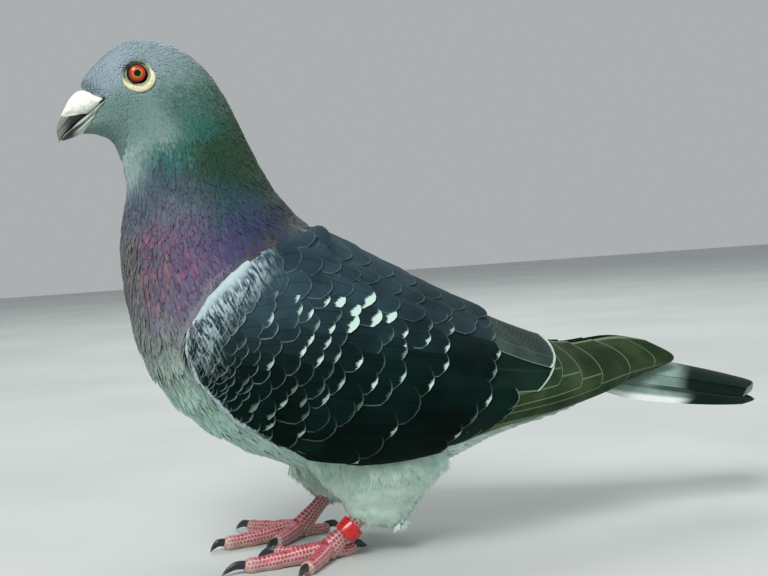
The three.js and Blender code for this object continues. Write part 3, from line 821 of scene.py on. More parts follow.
def lay_feathers(name, surface, feathers, rows, columns, side=1):
    """A mesh of closed vanes bent to a surface. Each feather, one item of every array, has its start and tip
    along the surface and its middle line's place up it at both ends; its half width, or the places of its
    upper edge at both ends (then low and high are those of its lower edge); the highest place it may
    reach, its height at both ends, its tuck (how much lower its upper edge is), the roundness of its tip
    and how much of it the lower side has, the tip's slant, its thickness and camber; where there are half
    widths, also the lowest place it may reach, its floor. Ahead of the wing's front edge a feather sinks
    under the neck's plumage. Arrays named to_ become the mesh's values."""
    count = len(feathers["tip"])
    get = lambda key: np.broadcast_to(np.asarray(feathers[key], dtype=float), (count,))[:, None, None]
    across, along = np.meshgrid(np.linspace(-1, 1, columns), np.linspace(0, 1, rows))
    across, along = across[None], along[None]
    share = along * (1 - get("round") * np.abs(across) ** 2.3 * np.where(across < 0, get("even"), 1))
    share = share * (1 - get("slant") * (1 - across) / 2)
    place = get("start") + (get("tip") - get("start")) * share
    level = get("low") + (get("high") - get("low")) * share
    if "top" in feathers:
        upper = get("top") + (get("top_tip") - get("top")) * share
        level = level + (upper - level) * (across + 1) / 2
    else:
        half = get("half") * np.interp(share, [0, 0.35, 0.7, 1.0], [0.45, 0.95, 1.0, 0.86])
        steps = 6
        for _ in range(steps):
            ahead, rising, _ = slopes(surface, place, level)
            skew = (rising * ahead).sum(-1) / (ahead ** 2).sum(-1)
            climb = half * across / np.linalg.norm(rising - ahead * skew[..., None], axis=-1) / steps
            climb = np.minimum(climb, (get("ceiling") - level) * 0.4)
            place, level = place - climb * skew, level + climb
        level = np.maximum(level, get("floor"))
    points = surface(place, level)
    normal = slopes(surface, place, level)[2]
    height = get("root_height") + (get("tip_height") - get("root_height")) * share - get("tuck") * across
    height = height - np.clip(-behind_front(points), 0, NECK_LAP) * NECK_LAP_SLOPE
    crown = (1 - across ** 2) * np.clip(4 * (1 - along), 0, 1) * np.clip(8 * along, 0, 1)
    points = points + normal * (height + get("camber") * (1 - across ** 2))[..., None]
    body = normal * (get("thick") * np.sqrt(crown) / 2)[..., None]
    sides = [points + body, points - body]
    rim = np.zeros((rows, columns), dtype=bool)
    rim[[0, -1], :] = rim[:, [0, -1]] = True
    index = np.arange(rows * columns).reshape(rows, columns)
    inner = index[~rim]
    under = index.copy()
    under[~rim] = rows * columns + np.arange(len(inner))
    per_feather = rows * columns + len(inner)
    faces = np.concatenate([quads(index), quads(under)[:, ::-1]])
    vertices = np.concatenate([sides[0].reshape(count, -1, 3), sides[1][:, ~rim]], axis=1).reshape(-1, 3)
    every = (faces[None] + per_feather * np.arange(count)[:, None, None]).reshape(-1, 4)
    if side < 0:
        vertices[:, 1] *= -1
        every = every[:, ::-1]
    mesh = bpy.data.meshes.new(name)
    mesh.from_pydata(vertices.tolist(), [], every.tolist())
    mesh.shade_smooth()
    on_rim = np.tile(np.concatenate([rim.ravel(), np.zeros(len(inner), dtype=bool)]), count)
    ends = np.empty(len(mesh.edges) * 2, dtype=np.int32)
    mesh.edges.foreach_get("vertices", ends)
    mesh.edges.foreach_set("use_edge_sharp", on_rim[ends.reshape(-1, 2)].all(1))
    own = np.stack([(across[0] + 1) / 2, along[0]], axis=-1).reshape(-1, 2)
    own = np.concatenate([own, own[~rim.ravel()]])
    cells = math.ceil(math.sqrt(count))
    cell = np.stack([np.arange(count) % cells, np.arange(count) // cells], axis=1)
    atlas = (cell[:, None] + 0.06 + 0.88 * own[None]).reshape(-1, 2) / cells
    order = every.ravel()
    for layer_name, values in (("vane", np.tile(own, (count, 1))), ("OFBake", atlas)):
        layer = mesh.uv_layers.new(name=layer_name)
        layer.uv.foreach_set("vector", values[order].astype(np.float32).ravel())
    shown = {key[3:]: np.repeat(np.broadcast_to(values, (count,)), per_feather)
             for key, values in feathers.items() if key.startswith("to_")}
    give_values(mesh, **shown)
    return mesh


def wing_piece(name, feathers, rows, columns, material, side, surface=wing_surface):
    """A piece of feathers laid on a surface, on the left wing (side -1) or as the surface lies (1)."""
    mesh = lay_feathers(name, surface, feathers, rows, columns, side)
    piece = new_piece(name, mesh, material)
    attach(piece, "root")
    return piece


# Fronts of the covert rows: where along the wing their tips cross its middle, then the width and the
# length of a feather in millimetres; and how far a row sweeps back towards the top, and bends.
COVERT_ROWS = [(0.592, 9.8, 40), (0.497, 9.4, 32), (0.440, 8.6, 26)]
SWEEP_SHARES = [0, 0.1, 0.25, 0.36, 0.445, 0.495, 0.59]
SWEEPS = [0.0, 0.08, 0.26, 0.35, 0.35, 0.24, 0.16]
BENDS = [0.0, -0.05, -0.2, -0.28, -0.27, -0.16, -0.14]


def covert_feathers(draws):
    """The coverts row by row: each tip's place along and up the wing, spacing, length and no line."""
    rows = list(COVERT_ROWS)
    place = rows[-1][0]
    while place > 0.002:
        step = np.interp(place, [0.02, 0.2, 0.42], [2.8, 6.2, 8.2])
        place -= step / WING_LENGTH_MM
        rows.append((place, np.interp(place, [0.02, 0.2, 0.42], [2.6, 4.8, 7.8]), step * 2.7))
    feathers = []
    for number, (place, spacing, length) in enumerate(rows):
        sweep, bend = (np.interp(place, SWEEP_SHARES, values) for values in (SWEEPS, BENDS))
        untidy = 0.004 if number < 2 else spacing / WING_LENGTH_MM * 0.34
        up = -0.02 + draws.uniform(0, 0.04)
        while up < 1.0:
            tip = place + sweep * (up - 0.5) + bend * (up - 0.5) ** 2 + draws.normal(0, untidy)
            size = draws.uniform(0.88, 1.12)
            if tip > -0.002:
                _, rising, _ = slopes(wing_surface, np.array([tip]), np.array([up]))
                feathers.append((tip, up, spacing * size, length * size, 0))
                step = spacing * size * MM / np.linalg.norm(rising)
            else:
                step = 0.03
            up += step
    return feathers


# Lines of shoulder feathers, which overhang the wing's top edge: how far up, first and last tip along,
# and how far apart the tips lie.
SHOULDER_LINES = [(0.79, 0.27, 0.60, 8.5), (0.87, 0.20, 0.63, 8.2), (0.95, 0.15, 0.64, 8.0)]


def shoulder_feathers(draws):
    """The shoulder feathers, told as the coverts are; their lines count from 1."""
    feathers = []
    for line, (up, tip, last, step) in enumerate(SHOULDER_LINES):
        while tip < last:
            size = np.interp(tip, [0.1, 0.25, 0.6], [0.6, 1.0, 1.15]) * draws.uniform(0.92, 1.08)
            feathers.append((tip, up + draws.normal(0, 0.012), 11.0 * size, 26 * size, line + 1))
            tip += step * size / WING_LENGTH_MM
    return feathers


draws = np.random.default_rng(11)
tips, ups, spacings, feather_lengths, line = np.array(covert_feathers(draws) + shoulder_feathers(draws)).T
kept = behind_front(wing_surface(tips, ups)) > 1.2 * MM
tips, ups, spacings, feather_lengths, line = (
    values[kept] for values in (tips, ups, spacings, feather_lengths, line))
ahead = slopes(wing_surface, tips, ups)[0]
count, shoulder = len(tips), line > 0
half_widths = np.where(shoulder, 0.72, 0.98) * spacings
slate = np.clip((ups - 0.42) * 2.2 - np.clip(tips - 0.3, 0, 1) * 1.6, 0, 1)
# A feather starts where its length or the wing's front edge lets it; cut is the share that is missing.
starts, cut = tips.copy(), np.ones(count)
for share in np.linspace(0, 1, 17)[1:]:
    earlier = tips - share * feather_lengths * MM / np.linalg.norm(ahead, axis=1)
    inside = (behind_front(wing_surface(earlier, ups)) > -0.6 * MM) & (earlier > -0.03)
    starts, cut = np.where(inside, earlier, starts), np.where(inside, 1 - share, cut)
# Near the wrist the front edge is also the highest place that a feather may reach.
LOWEST_CEILING, TOP_CEILING = 0.3, 1.02
levels = np.linspace(LOWEST_CEILING, TOP_CEILING, 73)
below_edge = behind_front(wing_surface(tips[:, None], levels[None])) > 0.2 * MM
ceilings = np.where(tips > 0.31, TOP_CEILING, np.where(below_edge, levels, LOWEST_CEILING).max(1))
# Pale spots lie behind the wrist and below the shoulder; the few feathers at SPOT_PATCH all have one.
SPOT_PATCH = (0.41, 0.72)
spot_region = np.clip((tips - 0.12) * 6, 0, 1) * np.clip((0.86 - ups) * 6, 0, 1)
spots = np.where(shoulder, 0, spot_region * draws.random(count) ** np.where(tips > 0.45, 0.5, 1.3))
in_patch = np.hypot((tips - SPOT_PATCH[0]) / 0.05, (ups - SPOT_PATCH[1]) / 0.08) < 1
spots = np.where(in_patch, 1.5, spots)
shoulder_slate = np.interp(tips, [0.1, 0.3, 0.6], [0.95, 0.8, 0.4])
fringes = np.where(shoulder, 0.3, np.interp(tips, [0, 0.3, 0.6], [0.85, 0.4, 0.5]))
covert_spec = {
    "tip": tips, "start": starts,
    "floor": np.interp(tips, [0, 0.22, 0.3, 0.36, 0.43, 0.55], [0.0, 0.0, -0.02, -0.03, -0.05, -0.09]),
    "low": ups + np.where(shoulder, 0.03, 0) + draws.normal(0, 0.006, count), "high": ups,
    "half": half_widths * MM, "ceiling": ceilings, "slant": 0,
    "root_height": np.where(shoulder, -1.2 + 0.25 * line, -1.0 + cut) * MM,
    "tip_height": np.where(shoulder, 0.7 + 0.25 * line, 0.55) * MM,
    "tuck": np.where(shoulder, 0.1, 0.22) * MM,
    "round": np.where(shoulder, 0.5, 0.62) * spacings / feather_lengths, "even": 1,
    "thick": 0.16 * MM, "camber": spacings * MM * 0.045,
    "to_seed": draws.random(count), "to_slate": np.where(shoulder, shoulder_slate, slate),
    "to_spot": spots, "to_wide": half_widths, "to_long": feather_lengths,
    "to_fringe": fringes * draws.uniform(0.5, 1, count)}

covert_material, tree, shader = new_material("covert_feathers", Roughness=0.6, Specular_IOR_Level=0.04)
value = tree.value
seed = value("seed")
vane_place = tree.along_vane()
sideways, forth = vane_place.part("X") * 2 - 1, vane_place.part("Y")
aside = sideways.apply("ABSOLUTE")
place = tree.place()
ragged = place.noise(1100.0, 3.0) - 0.5
from_tip, from_side = (1 - forth) * value("long"), (1 - aside) * value("wide")
rim = from_tip.apply("MINIMUM", from_side) + ragged * 0.5
lower_side = sideways.between(0.5, -0.25)
fringe = rim.between(0.75, 0.25) * value("fringe") * from_tip.between(13.0, 5.0) * (0.2 + lower_side * 0.8)
spot_reach = from_tip + (sideways + 0.4).apply("ABSOLUTE") * value("wide") * 0.7 + ragged * 2.2
spot = (spot_reach - value("spot").between(0.9, 1.5) * 2.5).between(2.6, 1.1)
spot = spot * value("spot").between(0.12, 0.7)
# The neck's pale frost runs on over the feathers next to the front edge, broadest at the shoulder; all
# places of it are in millimetres.
x, z = place.part("X"), place.part("Z")
behind = None
for inward, level in zip(FRONT_INWARD, FRONT_LEVELS):
    plane = (x * float(inward[0]) + z * float(inward[1]) - float(level)) * 1000
    behind = plane if behind is None else behind.apply("MINIMUM", plane)
streaks = tree.node("ShaderNodeCombineXYZ", i0=(x * 0.92 + z * 0.38) * 950, i1=(z * 0.92 - x * 0.38) * 200,
                    i2=place.part("Y") * 200).noise(1.0, 3.0)
height = z * 1000
forward = x * -1000
broad = height.between(104, 118) * forward.between(80, 90)
solid = (behind + (streaks - 0.5) * 3).between(1.3 + broad * 4.8, 0.4)
solid = solid * height.between(58, 66) * forward.between(74, 85)
streaky = streaks.between(0.42, 0.63) * behind.between(17, 4)
streaky = streaky * height.between(82, 104) * forward.between(70, 86)
frosted = (solid * 0.95).apply("MAXIMUM", streaky * 0.85)
barbs = ((from_tip * 5 + from_side * 3).apply("SINE") * 0.5 + 0.5) * 0.14
cloudy = place.noise(45.0, 3.0).between(0.3, 0.7)
dark = cloudy.toward(rgb("02120f"), rgb("061c19"))
light = cloudy.toward(rgb("283a44"), rgb("3b525d"))
base = value("slate").toward(dark, light)
near_shaft = aside.between(0.1, 0.02) * 0.25
base = base.scaled(0.72 + seed * 0.34 + barbs - near_shaft)
pale = (fringe * 0.75).toward(base, rgb("8ca9a5"))
pale = (spot * 0.9).toward(pale, rgb("c3e0d5"))
feed(shader, "Base Color", frosted.toward(pale, rgb("b0c3ca")))
feed(shader, "Normal", (barbs * 3).bump(0.25, 0.0003))

for side, label in ((-1, "left"), (1, "right")):
    wing_piece(f"wing_{label}_coverts", covert_spec, 7, 7, covert_material, side)


# ------------------------------------------------------------------ flight feathers of the wings
# Behind the coverts lie the ends of the secondaries, then two broad inner feathers over them, and
# the primaries, whose shorter inner ones lie over the longer outer ones in narrow parallel strips.
FLIGHT_FEATHERS = [
    # start and tip along the wing, lower edge up it at both, upper edge at both, height in millimetres,
    # roundness, its share on the lower side, slant, how dark, how grey
    (0.50, 1.0, -0.14, 0.0, 0.88, 1.03, -1.8, 0.075, 1.0, 0.00, 0.15, 0.0),
    (0.50, 0.955, -0.09, 0.0, 0.9, 0.99, -1.6, 0.085, 0.8, 0.00, 0.10, 0.0),
    (0.50, 0.893, -0.04, -0.02, 0.9, 0.99, -1.4, 0.10, 0.5, 0.00, 0.10, 0.0),
    (0.50, 0.830, 0.04, 0.24, 0.9, 0.99, -1.2, 0.06, 1.0, 0.02, 0.05, 0.0),
    (0.50, 0.785, 0.08, 0.36, 0.9, 0.99, -1.05, 0.06, 1.2, 0.03, 0.10, 0.0),
    (0.45, 0.755, 0.15, 0.46, 0.9, 0.99, -0.9, 0.06, 1.5, 0.08, 0.20, 0.0),
    (0.12, 0.350, 0.00, -0.03, 0.3, 0.16, -0.2, 0.12, 1.4, 0.05, 1.0, 0.0),
    (0.17, 0.440, -0.02, -0.05, 0.3, 0.16, -0.6, 0.12, 1.4, 0.05, 1.0, 0.0),
    (0.30, 0.550, -0.05, -0.10, 0.2, 0.12, -1.6, 0.09, 1.6, 0.05, 1.0, 0.0),
    (0.34, 0.578, -0.03, -0.06, 0.3, 0.18, -1.5, 0.08, 1.6, 0.04, 1.0, 0.0),
    (0.36, 0.597, 0.02, 0.01, 0.4, 0.26, -1.3, 0.07, 1.6, 0.04, 1.0, 0.0),
    (0.36, 0.611, 0.08, 0.08, 0.5, 0.34, -1.1, 0.07, 1.6, 0.04, 1.0, 0.0),
    (0.36, 0.624, 0.15, 0.16, 0.6, 0.46, -0.9, 0.07, 1.6, 0.04, 1.0, 0.0),
    (0.36, 0.782, 0.28, 0.39, 0.9, 1.00, -0.5, 0.04, 1.0, 0.26, 0.92, 0.0),
    (0.36, 0.766, 0.95, 0.54, 1.0, 1.00, -0.1, 0.03, 1.0, 0.12, 0.7, 1.0)]
EDGED_FEATHERS = 2      # the last of them, the broad inner ones, have pale edges at their tips


def flight_spec(seed):
    """What lay_feathers asks for the flight feathers."""
    draws = np.random.default_rng(seed)
    columns = np.array(FLIGHT_FEATHERS).T
    start, tip, low, low_tip, top, top_tip, height, rounded, even, slant, dark, grey = columns
    count = len(tip)
    return {"start": start, "tip": tip, "low": low, "high": low_tip, "top": top, "top_tip": top_tip,
            "root_height": (height - 1.6) * MM, "tip_height": height * MM, "tuck": 0.25 * MM,
            "round": rounded, "even": even, "slant": slant, "thick": 0.25 * MM, "camber": 0.35 * MM,
            "to_seed": draws.random(count), "to_dark": dark, "to_grey": grey,
            "to_edged": np.arange(count) >= count - EDGED_FEATHERS, "to_wide": 10,
            "to_long": (tip - start) * WING_LENGTH_MM}


flight_material, tree, shader = new_material("flight_feathers", Roughness=0.55, Specular_IOR_Level=0.05)
value = tree.value
vane_place = tree.along_vane()
sideways, forth = vane_place.part("X") * 2 - 1, vane_place.part("Y")
from_tip, from_side = (1 - forth) * value("long"), (1 - sideways.apply("ABSOLUTE")) * value("wide")
from_shaft = (sideways + 0.35).apply("ABSOLUTE") * value("wide")
place = tree.place()
cloudy = place.noise(60.0, 3.0)
barbs = ((from_tip * 3.5 + from_shaft * 2.4 + place.noise(120.0) * 3).apply("SINE") * 0.5 + 0.5)
olive = cloudy.between(0.3, 0.7).toward(rgb("1f2e1c"), rgb("33442c"))
dark = cloudy.between(0.3, 0.7).toward(rgb("031813"), rgb("08211b"))
grey = cloudy.between(0.3, 0.7).toward(rgb("23302d"), rgb("34433f"))
base = value("grey").toward(value("dark").toward(olive, dark), grey)
# The lower side of each feather is painted lighter: a painted sheen along the flight feathers' lower edges.
shade = 0.82 + value("seed") * 0.16 + barbs * 0.06 + sideways.between(0.2, -0.9) * 0.42
base = base.scaled(shade)
rim_line = (from_tip.apply("MINIMUM", from_side) + (place.noise(900.0) - 0.5) * 0.3).between(0.6, 0.25)
shaft_line = from_shaft.between(0.4, 0.2) * from_tip.between(0.5, 1.5) * (1 - value("dark")) * 0.45
base = shaft_line.toward(base, rgb("7f8c7c"))
base = (rim_line * (0.55 - (1 - value("dark")) * 0.15)).toward(base, rgb("8da380"))
pale_edge = (from_tip + (place.noise(900.0) - 0.5) * 0.8).between(1.5, 0.8) * value("edged")
feed(shader, "Base Color", (pale_edge * 0.85).toward(base, rgb("b4cdc0")))
feed(shader, "Normal", (barbs * 0.5 + shaft_line).bump(0.35, 0.0004))

for side, label in ((-1, "left"), (1, "right")):
    spec = flight_spec(21)
    piece = wing_piece(f"wing_{label}_flight", spec, 25, 13, flight_material, side)
    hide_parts(f"wing_{label}_primaries")


# ------------------------------------------------------------------ tail
# Twelve stiff feathers, closed to a narrow fan that falls away to both sides. The middle pair lies on
# top, and the outermost pair hangs lowest and has a white outer web. Short coverts hide their roots.
TAIL_ROOT, TAIL_TIP, TAIL_HALF_WIDTH, TAIL_CORNER_STEP = 72 * MM, 157 * MM, 24 * MM, 9.5 * MM
ROOF_EDGE = 0.8         # where the roof of the inner feathers ends and the outermost feather hangs


def tail_surface(along, up):
    """The tail's upper side from root (0) to tips (1), up from its right edge (-1) to its left one (1)."""
    aside = np.abs(up)
    tip = TAIL_TIP - TAIL_CORNER_STEP * aside ** 2.2
    ridge = (77 - 20.5 * np.sign(along) * np.abs(along) ** 1.35) * MM
    held = np.clip(along, 0, 1)
    roof = (10.6 - 5.8 * held ** 2.2) * MM * np.minimum(aside / ROOF_EDGE, 1.0) ** 1.9
    hang = (10.2 - 9.8 * held ** 2) * MM * np.clip((aside - ROOF_EDGE) / (1 - ROOF_EDGE), 0, 1.1)
    hang = hang * np.sqrt(np.clip((along + 0.05) / 0.25, 0, 1))
    half_width = TAIL_HALF_WIDTH * (0.8 + 0.2 * along)
    return np.stack([TAIL_ROOT + (tip - TAIL_ROOT) * along, -up * half_width, ridge - roof - hang], axis=-1)


def tail_spec(seed):
    """What lay_feathers asks for the tail feathers, the outermost pair first; rank counts the pairs from
    the middle one (0), and hand is a feather's side."""
    draws = np.random.default_rng(seed)
    rank = np.repeat(np.arange(6), 2)
    hand = np.tile([-1.0, 1.0], 6)
    order = np.argsort(-rank, kind="stable")
    rank, hand = rank[order], hand[order]
    height = -0.25 * rank - 0.12 * (hand > 0) - np.where(rank == 5, 0.6, 0)
    inner = np.interp(rank, [0, 4, 5], [-0.30, 0.12, 0.70])
    outer = np.interp(rank, [0, 4, 5], [0.62, 0.80, 1.0])
    narrow = np.where(rank == 5, 0.06, 0)
    low, top = (np.where(hand > 0, a, -b) for a, b in ((inner, outer - narrow), (outer - narrow, inner)))
    low_tip, top_tip = (np.where(hand > 0, a, -b) for a, b in ((inner, outer), (outer, inner)))
    return {"tip": np.where(rank == 5, 0.985, 1.0 - 0.006 * rank), "start": -0.05,
            "low": low, "high": low_tip, "top": top, "top_tip": top_tip, "slant": 0,
            "root_height": (height - 0.5) * MM, "tip_height": height * MM,
            "tuck": np.where(rank > 0, 0.25, 0.05) * hand * MM,
            "round": np.where(rank == 5, 0.07, 0.06), "even": 1, "thick": 0.3 * MM, "camber": 0.3 * MM,
            "to_seed": draws.random(12), "to_outer": (rank == 5).astype(float), "to_hand": hand,
            "to_wide": np.interp(rank, [0, 4, 5], [10.0, 8.0, 4.5])}


def tail_covert_spec(seed, above):
    """What lay_feathers asks for the coverts above or below the tail, in three rows of eleven."""
    draws = np.random.default_rng(seed)
    row, number = np.divmod(np.arange(33), 11)
    spread = (number - 5) / 5
    count = len(row)
    height = np.interp(row, [0, 2], [1.4, 0.5] if above else [-7.5, -5.5])
    tip = np.interp(row, [0, 2], [0.12, 0.34] if above else [-0.05, 0.18]) - 0.06 * np.abs(spread)
    return {"tip": tip, "start": tip - 0.4, "low": spread * 0.30, "high": spread * (0.6 if above else 0.5),
            "half": 6.5 * MM, "slant": 0, "ceiling": 3, "floor": -3,
            "root_height": (height - 1.5 * np.sign(height)) * MM, "tip_height": height * MM,
            "tuck": 0.3 * np.sign(spread) * MM, "round": 0.3, "even": 1, "thick": 0.2 * MM,
            "camber": 0.5 * MM, "to_seed": draws.random(count),
            "to_along": np.full(count, 0.72 if above else 0.93),
            "to_around": np.full(count, 0.95 if above else 0.1)}


tail_material, tree, shader = new_material("tail_feathers", Roughness=0.5, Specular_IOR_Level=0.06)
value = tree.value
vane_place = tree.along_vane()
sideways, forth = vane_place.part("X") * 2 - 1, vane_place.part("Y")
aside = sideways.apply("ABSOLUTE")
place = tree.place()
cloudy = place.noise(70.0, 3.0)
barbs = ((forth * 230 + aside * 30 + place.noise(140.0) * 3).apply("SINE") * 0.5 + 0.5)
grey = cloudy.between(0.3, 0.7).toward(rgb("6f8780"), rgb("8ba39b"))
band = (forth + (cloudy - 0.5) * 0.10).between(0.52, 0.66)
base = band.toward(grey, rgb("0c1f17"))
outer_web = value("outer") * (sideways * value("hand")).between(0.42, 0.72)
# The outermost feather's web that lies under the inner feathers is painted dark: painted shadow in the gap
# between them.
gap = value("outer") * (sideways * value("hand")).between(0.3, 0.0) * forth.between(0.25, 0.5)
base = (gap * 0.75).toward(base, rgb("0c1714"))
white = outer_web * (forth + (cloudy - 0.5) * 0.06).between(0.66, 0.52)
base = white.toward(base, rgb("e4ebe6"))
shade = 0.88 + value("seed") * 0.12 + barbs * 0.05
base = base.scaled(shade)
from_tip = (1 - forth) * 85
rim_line = from_tip.between(0.9, 0.3)
shaft_line = (aside * value("wide")).between(0.5, 0.25)
base = (shaft_line * 0.4).toward(base, rgb("2c3634"))
feed(shader, "Base Color", (rim_line * 0.6).toward(base, rgb("a4aea2")))
feed(shader, "Normal", (barbs * 0.5 + shaft_line).bump(0.35, 0.0004))
tail = wing_piece("tail_feathers", tail_spec(31), 25, 13, tail_material, 1, tail_surface)
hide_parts("tail")
for name, seed, above in (("tail_upper_coverts", 32, True), ("tail_under_coverts", 33, False)):
    wing_piece(name, tail_covert_spec(seed, above), 9, 7, feather_material, 1, tail_surface)


# ------------------------------------------------------------------ bill and cere
# Two horny halves meet along the gape, the upper one hooked over the lower. The cere, a soft powdery
# white swelling in two lobes, sits on the base of the upper half and holds the nostrils.
UPPER_BILL_RIBS = [
    # lower and upper point of each section in the middle plane, half width
    (-135.2, 200.7, -135.2, 201.6, 0.0), (-137.5, 199.3, -137.7, 202.0, 8.5),
    (-140.5, 197.4, -141.2, 202.6, 7.3), (-143.4, 195.5, -145.0, 201.8, 6.0),
    (-148, 192.3, -150.4, 198.4, 4.4), (-152.2, 189.1, -154.8, 194.6, 3.3),
    (-154.6, 186.6, -156.6, 191.2, 2.3), (-155.9, 184.9, -157.0, 188.3, 1.4),
    (-156.3, 184.4, -156.6, 185.6, 0.0)]
LOWER_BILL_RIBS = [
    (-134.6, 200.8, -134.6, 201.1, 0.0), (-137.0, 199.0, -136.8, 200.3, 8.8),
    (-139.6, 196.2, -139.4, 199.0, 7.9), (-142.4, 190.8, -141.9, 197.5, 6.4),
    (-145.6, 188.0, -144.6, 195.8, 5.1), (-149.5, 186.5, -148.5, 192.6, 3.9),
    (-152.8, 185.4, -152.2, 189.6, 2.6), (-154.9, 185.0, -154.6, 187.2, 1.2),
    (-155.3, 185.3, -155.2, 185.9, 0.0)]
CERE_RIBS = [
    (-154.8, 195.3, -154.8, 195.6, 0.0), (-153.8, 194.4, -153.3, 198.3, 3.5),
    (-151.0, 193.6, -150.9, 202.3, 5.2), (-147.5, 194.2, -147.6, 205.2, 6.4),
    (-144, 195.2, -143.8, 205.4, 7.2), (-140.4, 197.5, -140.0, 203.3, 8.2),
    (-137.8, 199.8, -137.5, 201.8, 8.4), (-136.2, 201.0, -136.2, 201.4, 0.0)]


def walled(low_side, high_side):
    """A shape for lofted that gives a section's lower and upper half straighter walls."""
    def shape(points, along, angle):
        power = np.where(np.cos(angle) < 0, low_side, high_side) - 1
        points[..., 1] *= np.maximum(np.abs(np.sin(angle)), 1e-3) ** power
        return points
    return shape


bill_material, tree, shader = new_material("bill_horn", Roughness=0.32, Specular_IOR_Level=0.45)
place = tree.place()
forward, height = place.part("X") * -1000, place.part("Z") * 1000
# The horn is streaked along the gape: its pattern changes across the gape and hardly along it.
aslant = (height - 186.5) * 0.62 + (forward - 155) * 0.78
across_gape = (height - 186.5) * 0.78 + (forward - 155) * 0.62
streaks = tree.node("ShaderNodeCombineXYZ", i0=aslant * 0.16, i1=across_gape * 1.5, i2=0.0).noise(1.0, 3.0)
toward_tip = forward.between(149, 156.5)
horn = (streaks + toward_tip * 0.2).between(0.52, 0.75).toward(rgb("1b201f"), rgb("7f877d"))
pale_base = forward.between(151.5, 147.5) * (height + (forward - 146) * 0.75).between(194.4, 192.6)
feed(shader, "Base Color", (pale_base * (streaks - 0.06).between(0.3, 0.5)).toward(horn, rgb("c3cfc2")))
feed(shader, "Roughness", streaks.between(0.3, 0.7) * 0.2 + 0.26)
feed(shader, "Normal", streaks.bump(0.25, 0.0003))
for node, ribs, wall in (("bill_upper", UPPER_BILL_RIBS, walled(0.55, 0.9)),
                         ("bill_lower", LOWER_BILL_RIBS, walled(0.9, 0.55))):
    piece = new_piece(node + "_horn", finished(lofted(ribs, 48, 40, wall), node + "_horn"), bill_material)
    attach(piece, "root")
    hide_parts(node)


CLEFT_DEPTH, NOSTRIL_PLACE, NOSTRIL_DEPTH = 0.9 * MM, -151 * MM, 0.5 * MM


def two_lobed(points, along, angle):
    """Parts the cere's top in two lobes, and presses the slit of a nostril under each."""
    top = np.clip(np.cos(angle), 0, 1)
    cleft = np.exp(-(points[..., 1] / (1.1 * MM)) ** 2) * top * np.clip(np.sin(math.pi * along), 0, 1)
    points[..., 2] -= cleft * CLEFT_DEPTH
    slit = np.exp(-((points[..., 0] - NOSTRIL_PLACE) / (2.2 * MM)) ** 2)
    slit = slit * np.exp(-((np.cos(angle) + 0.55) / 0.2) ** 2)
    points[..., 1] -= np.sign(points[..., 1]) * slit * NOSTRIL_DEPTH
    return walled(0.6, 1.0)(points, along, angle)


cere_material, tree, shader = new_material("cere_powder", Roughness=0.75, Subsurface_Weight=0.15,
                                           Subsurface_Scale=0.002)
place = tree.place()
grains = place.noise(1400.0, 3.0, 0.6)
folds = place.noise(420.0, 2.0)
powder = (grains * 0.6 + folds * 0.4).between(0.3, 0.65)
feed(shader, "Base Color", powder.toward(rgb("cfd0c2"), rgb("f6f6ee")))
feed(shader, "Normal", (grains * 0.5 + folds).bump(0.5, 0.0004))
cere = new_piece("cere_skin", finished(lofted(CERE_RIBS, 48, 48, two_lobed), "cere_skin"), cere_material)
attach(cere, "root")
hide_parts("cere")


# ------------------------------------------------------------------ eyes
# Each eye is a wet ball with a black pupil in an orange red iris. Round it lies a bare cream ring of
# skin, narrow above and broad below, whose inner rim is the lid.
EYE_CENTRE, EYE_RADIUS = np.array([-123.0, 10.15, 210.5]) * MM, 4.3 * MM
EYE_FLATTENING = 0.7
LID_CENTRE, LID_RADIUS = np.array([-122.45, 209.95]) * MM, 3.6 * MM
RING_CENTRE = np.array([-122.7, 210.1]) * MM
PUPIL_RADIUS = 1.45 * MM


def eyeball(side):
    """A flattened ball with its pole outward."""
    form = bmesh.new()
    bmesh.ops.create_uvsphere(form, u_segments=64, v_segments=40, radius=EYE_RADIUS)
    for vert in form.verts:
        x, y, z = vert.co
        vert.co = (EYE_CENTRE[0] + x, side * (EYE_CENTRE[1] + z * EYE_FLATTENING), EYE_CENTRE[2] + y)
    # The swapped axes mirror the right ball, and finished() sees that only by normals made anew.
    form.normal_update()
    return finished(form, "eyeball")


eye_material, tree, shader = new_material("wet_iris", Roughness=0.35, Specular_IOR_Level=0.1, Coat_Weight=0.6,
                                          Coat_Roughness=0.03)
place = tree.place()
right, high = place.part("X") - EYE_CENTRE[0], place.part("Z") - EYE_CENTRE[2]
radius = (right * right + high * high).apply("SQRT") * 1000
speckle = place.noise(1500.0, 3.0, 0.6)
fleck = (speckle - 0.5) * 0.9
# The iris' colours from the middle of the pupil (0) to 5 mm from it (1).
pupil_edge = PUPIL_RADIUS / MM / 5
iris = ((radius + fleck * 0.3) * 0.2).ramp([
    (0.0, rgb("050404")), (pupil_edge - 0.01, rgb("050404")), (pupil_edge + 0.015, rgb("a5941f")),
    (0.38, rgb("c05c16")), (0.48, rgb("bd3d0c")), (0.62, rgb("a0260a")), (0.69, rgb("4a0f09")),
    (0.74, rgb("0d0607"))])
feed(shader, "Base Color", iris)


# The ring's section: share of the way from lid to feathers, and how proud it stands in millimetres.
ORBIT_SECTION = [(0.0, -1.3), (0.0, 0.05), (0.1, 0.5), (0.22, 0.62), (0.36, 0.42), (0.52, 0.42), (0.68, 0.36),
                 (0.84, 0.3), (0.96, 0.14), (1.0, -0.6)]


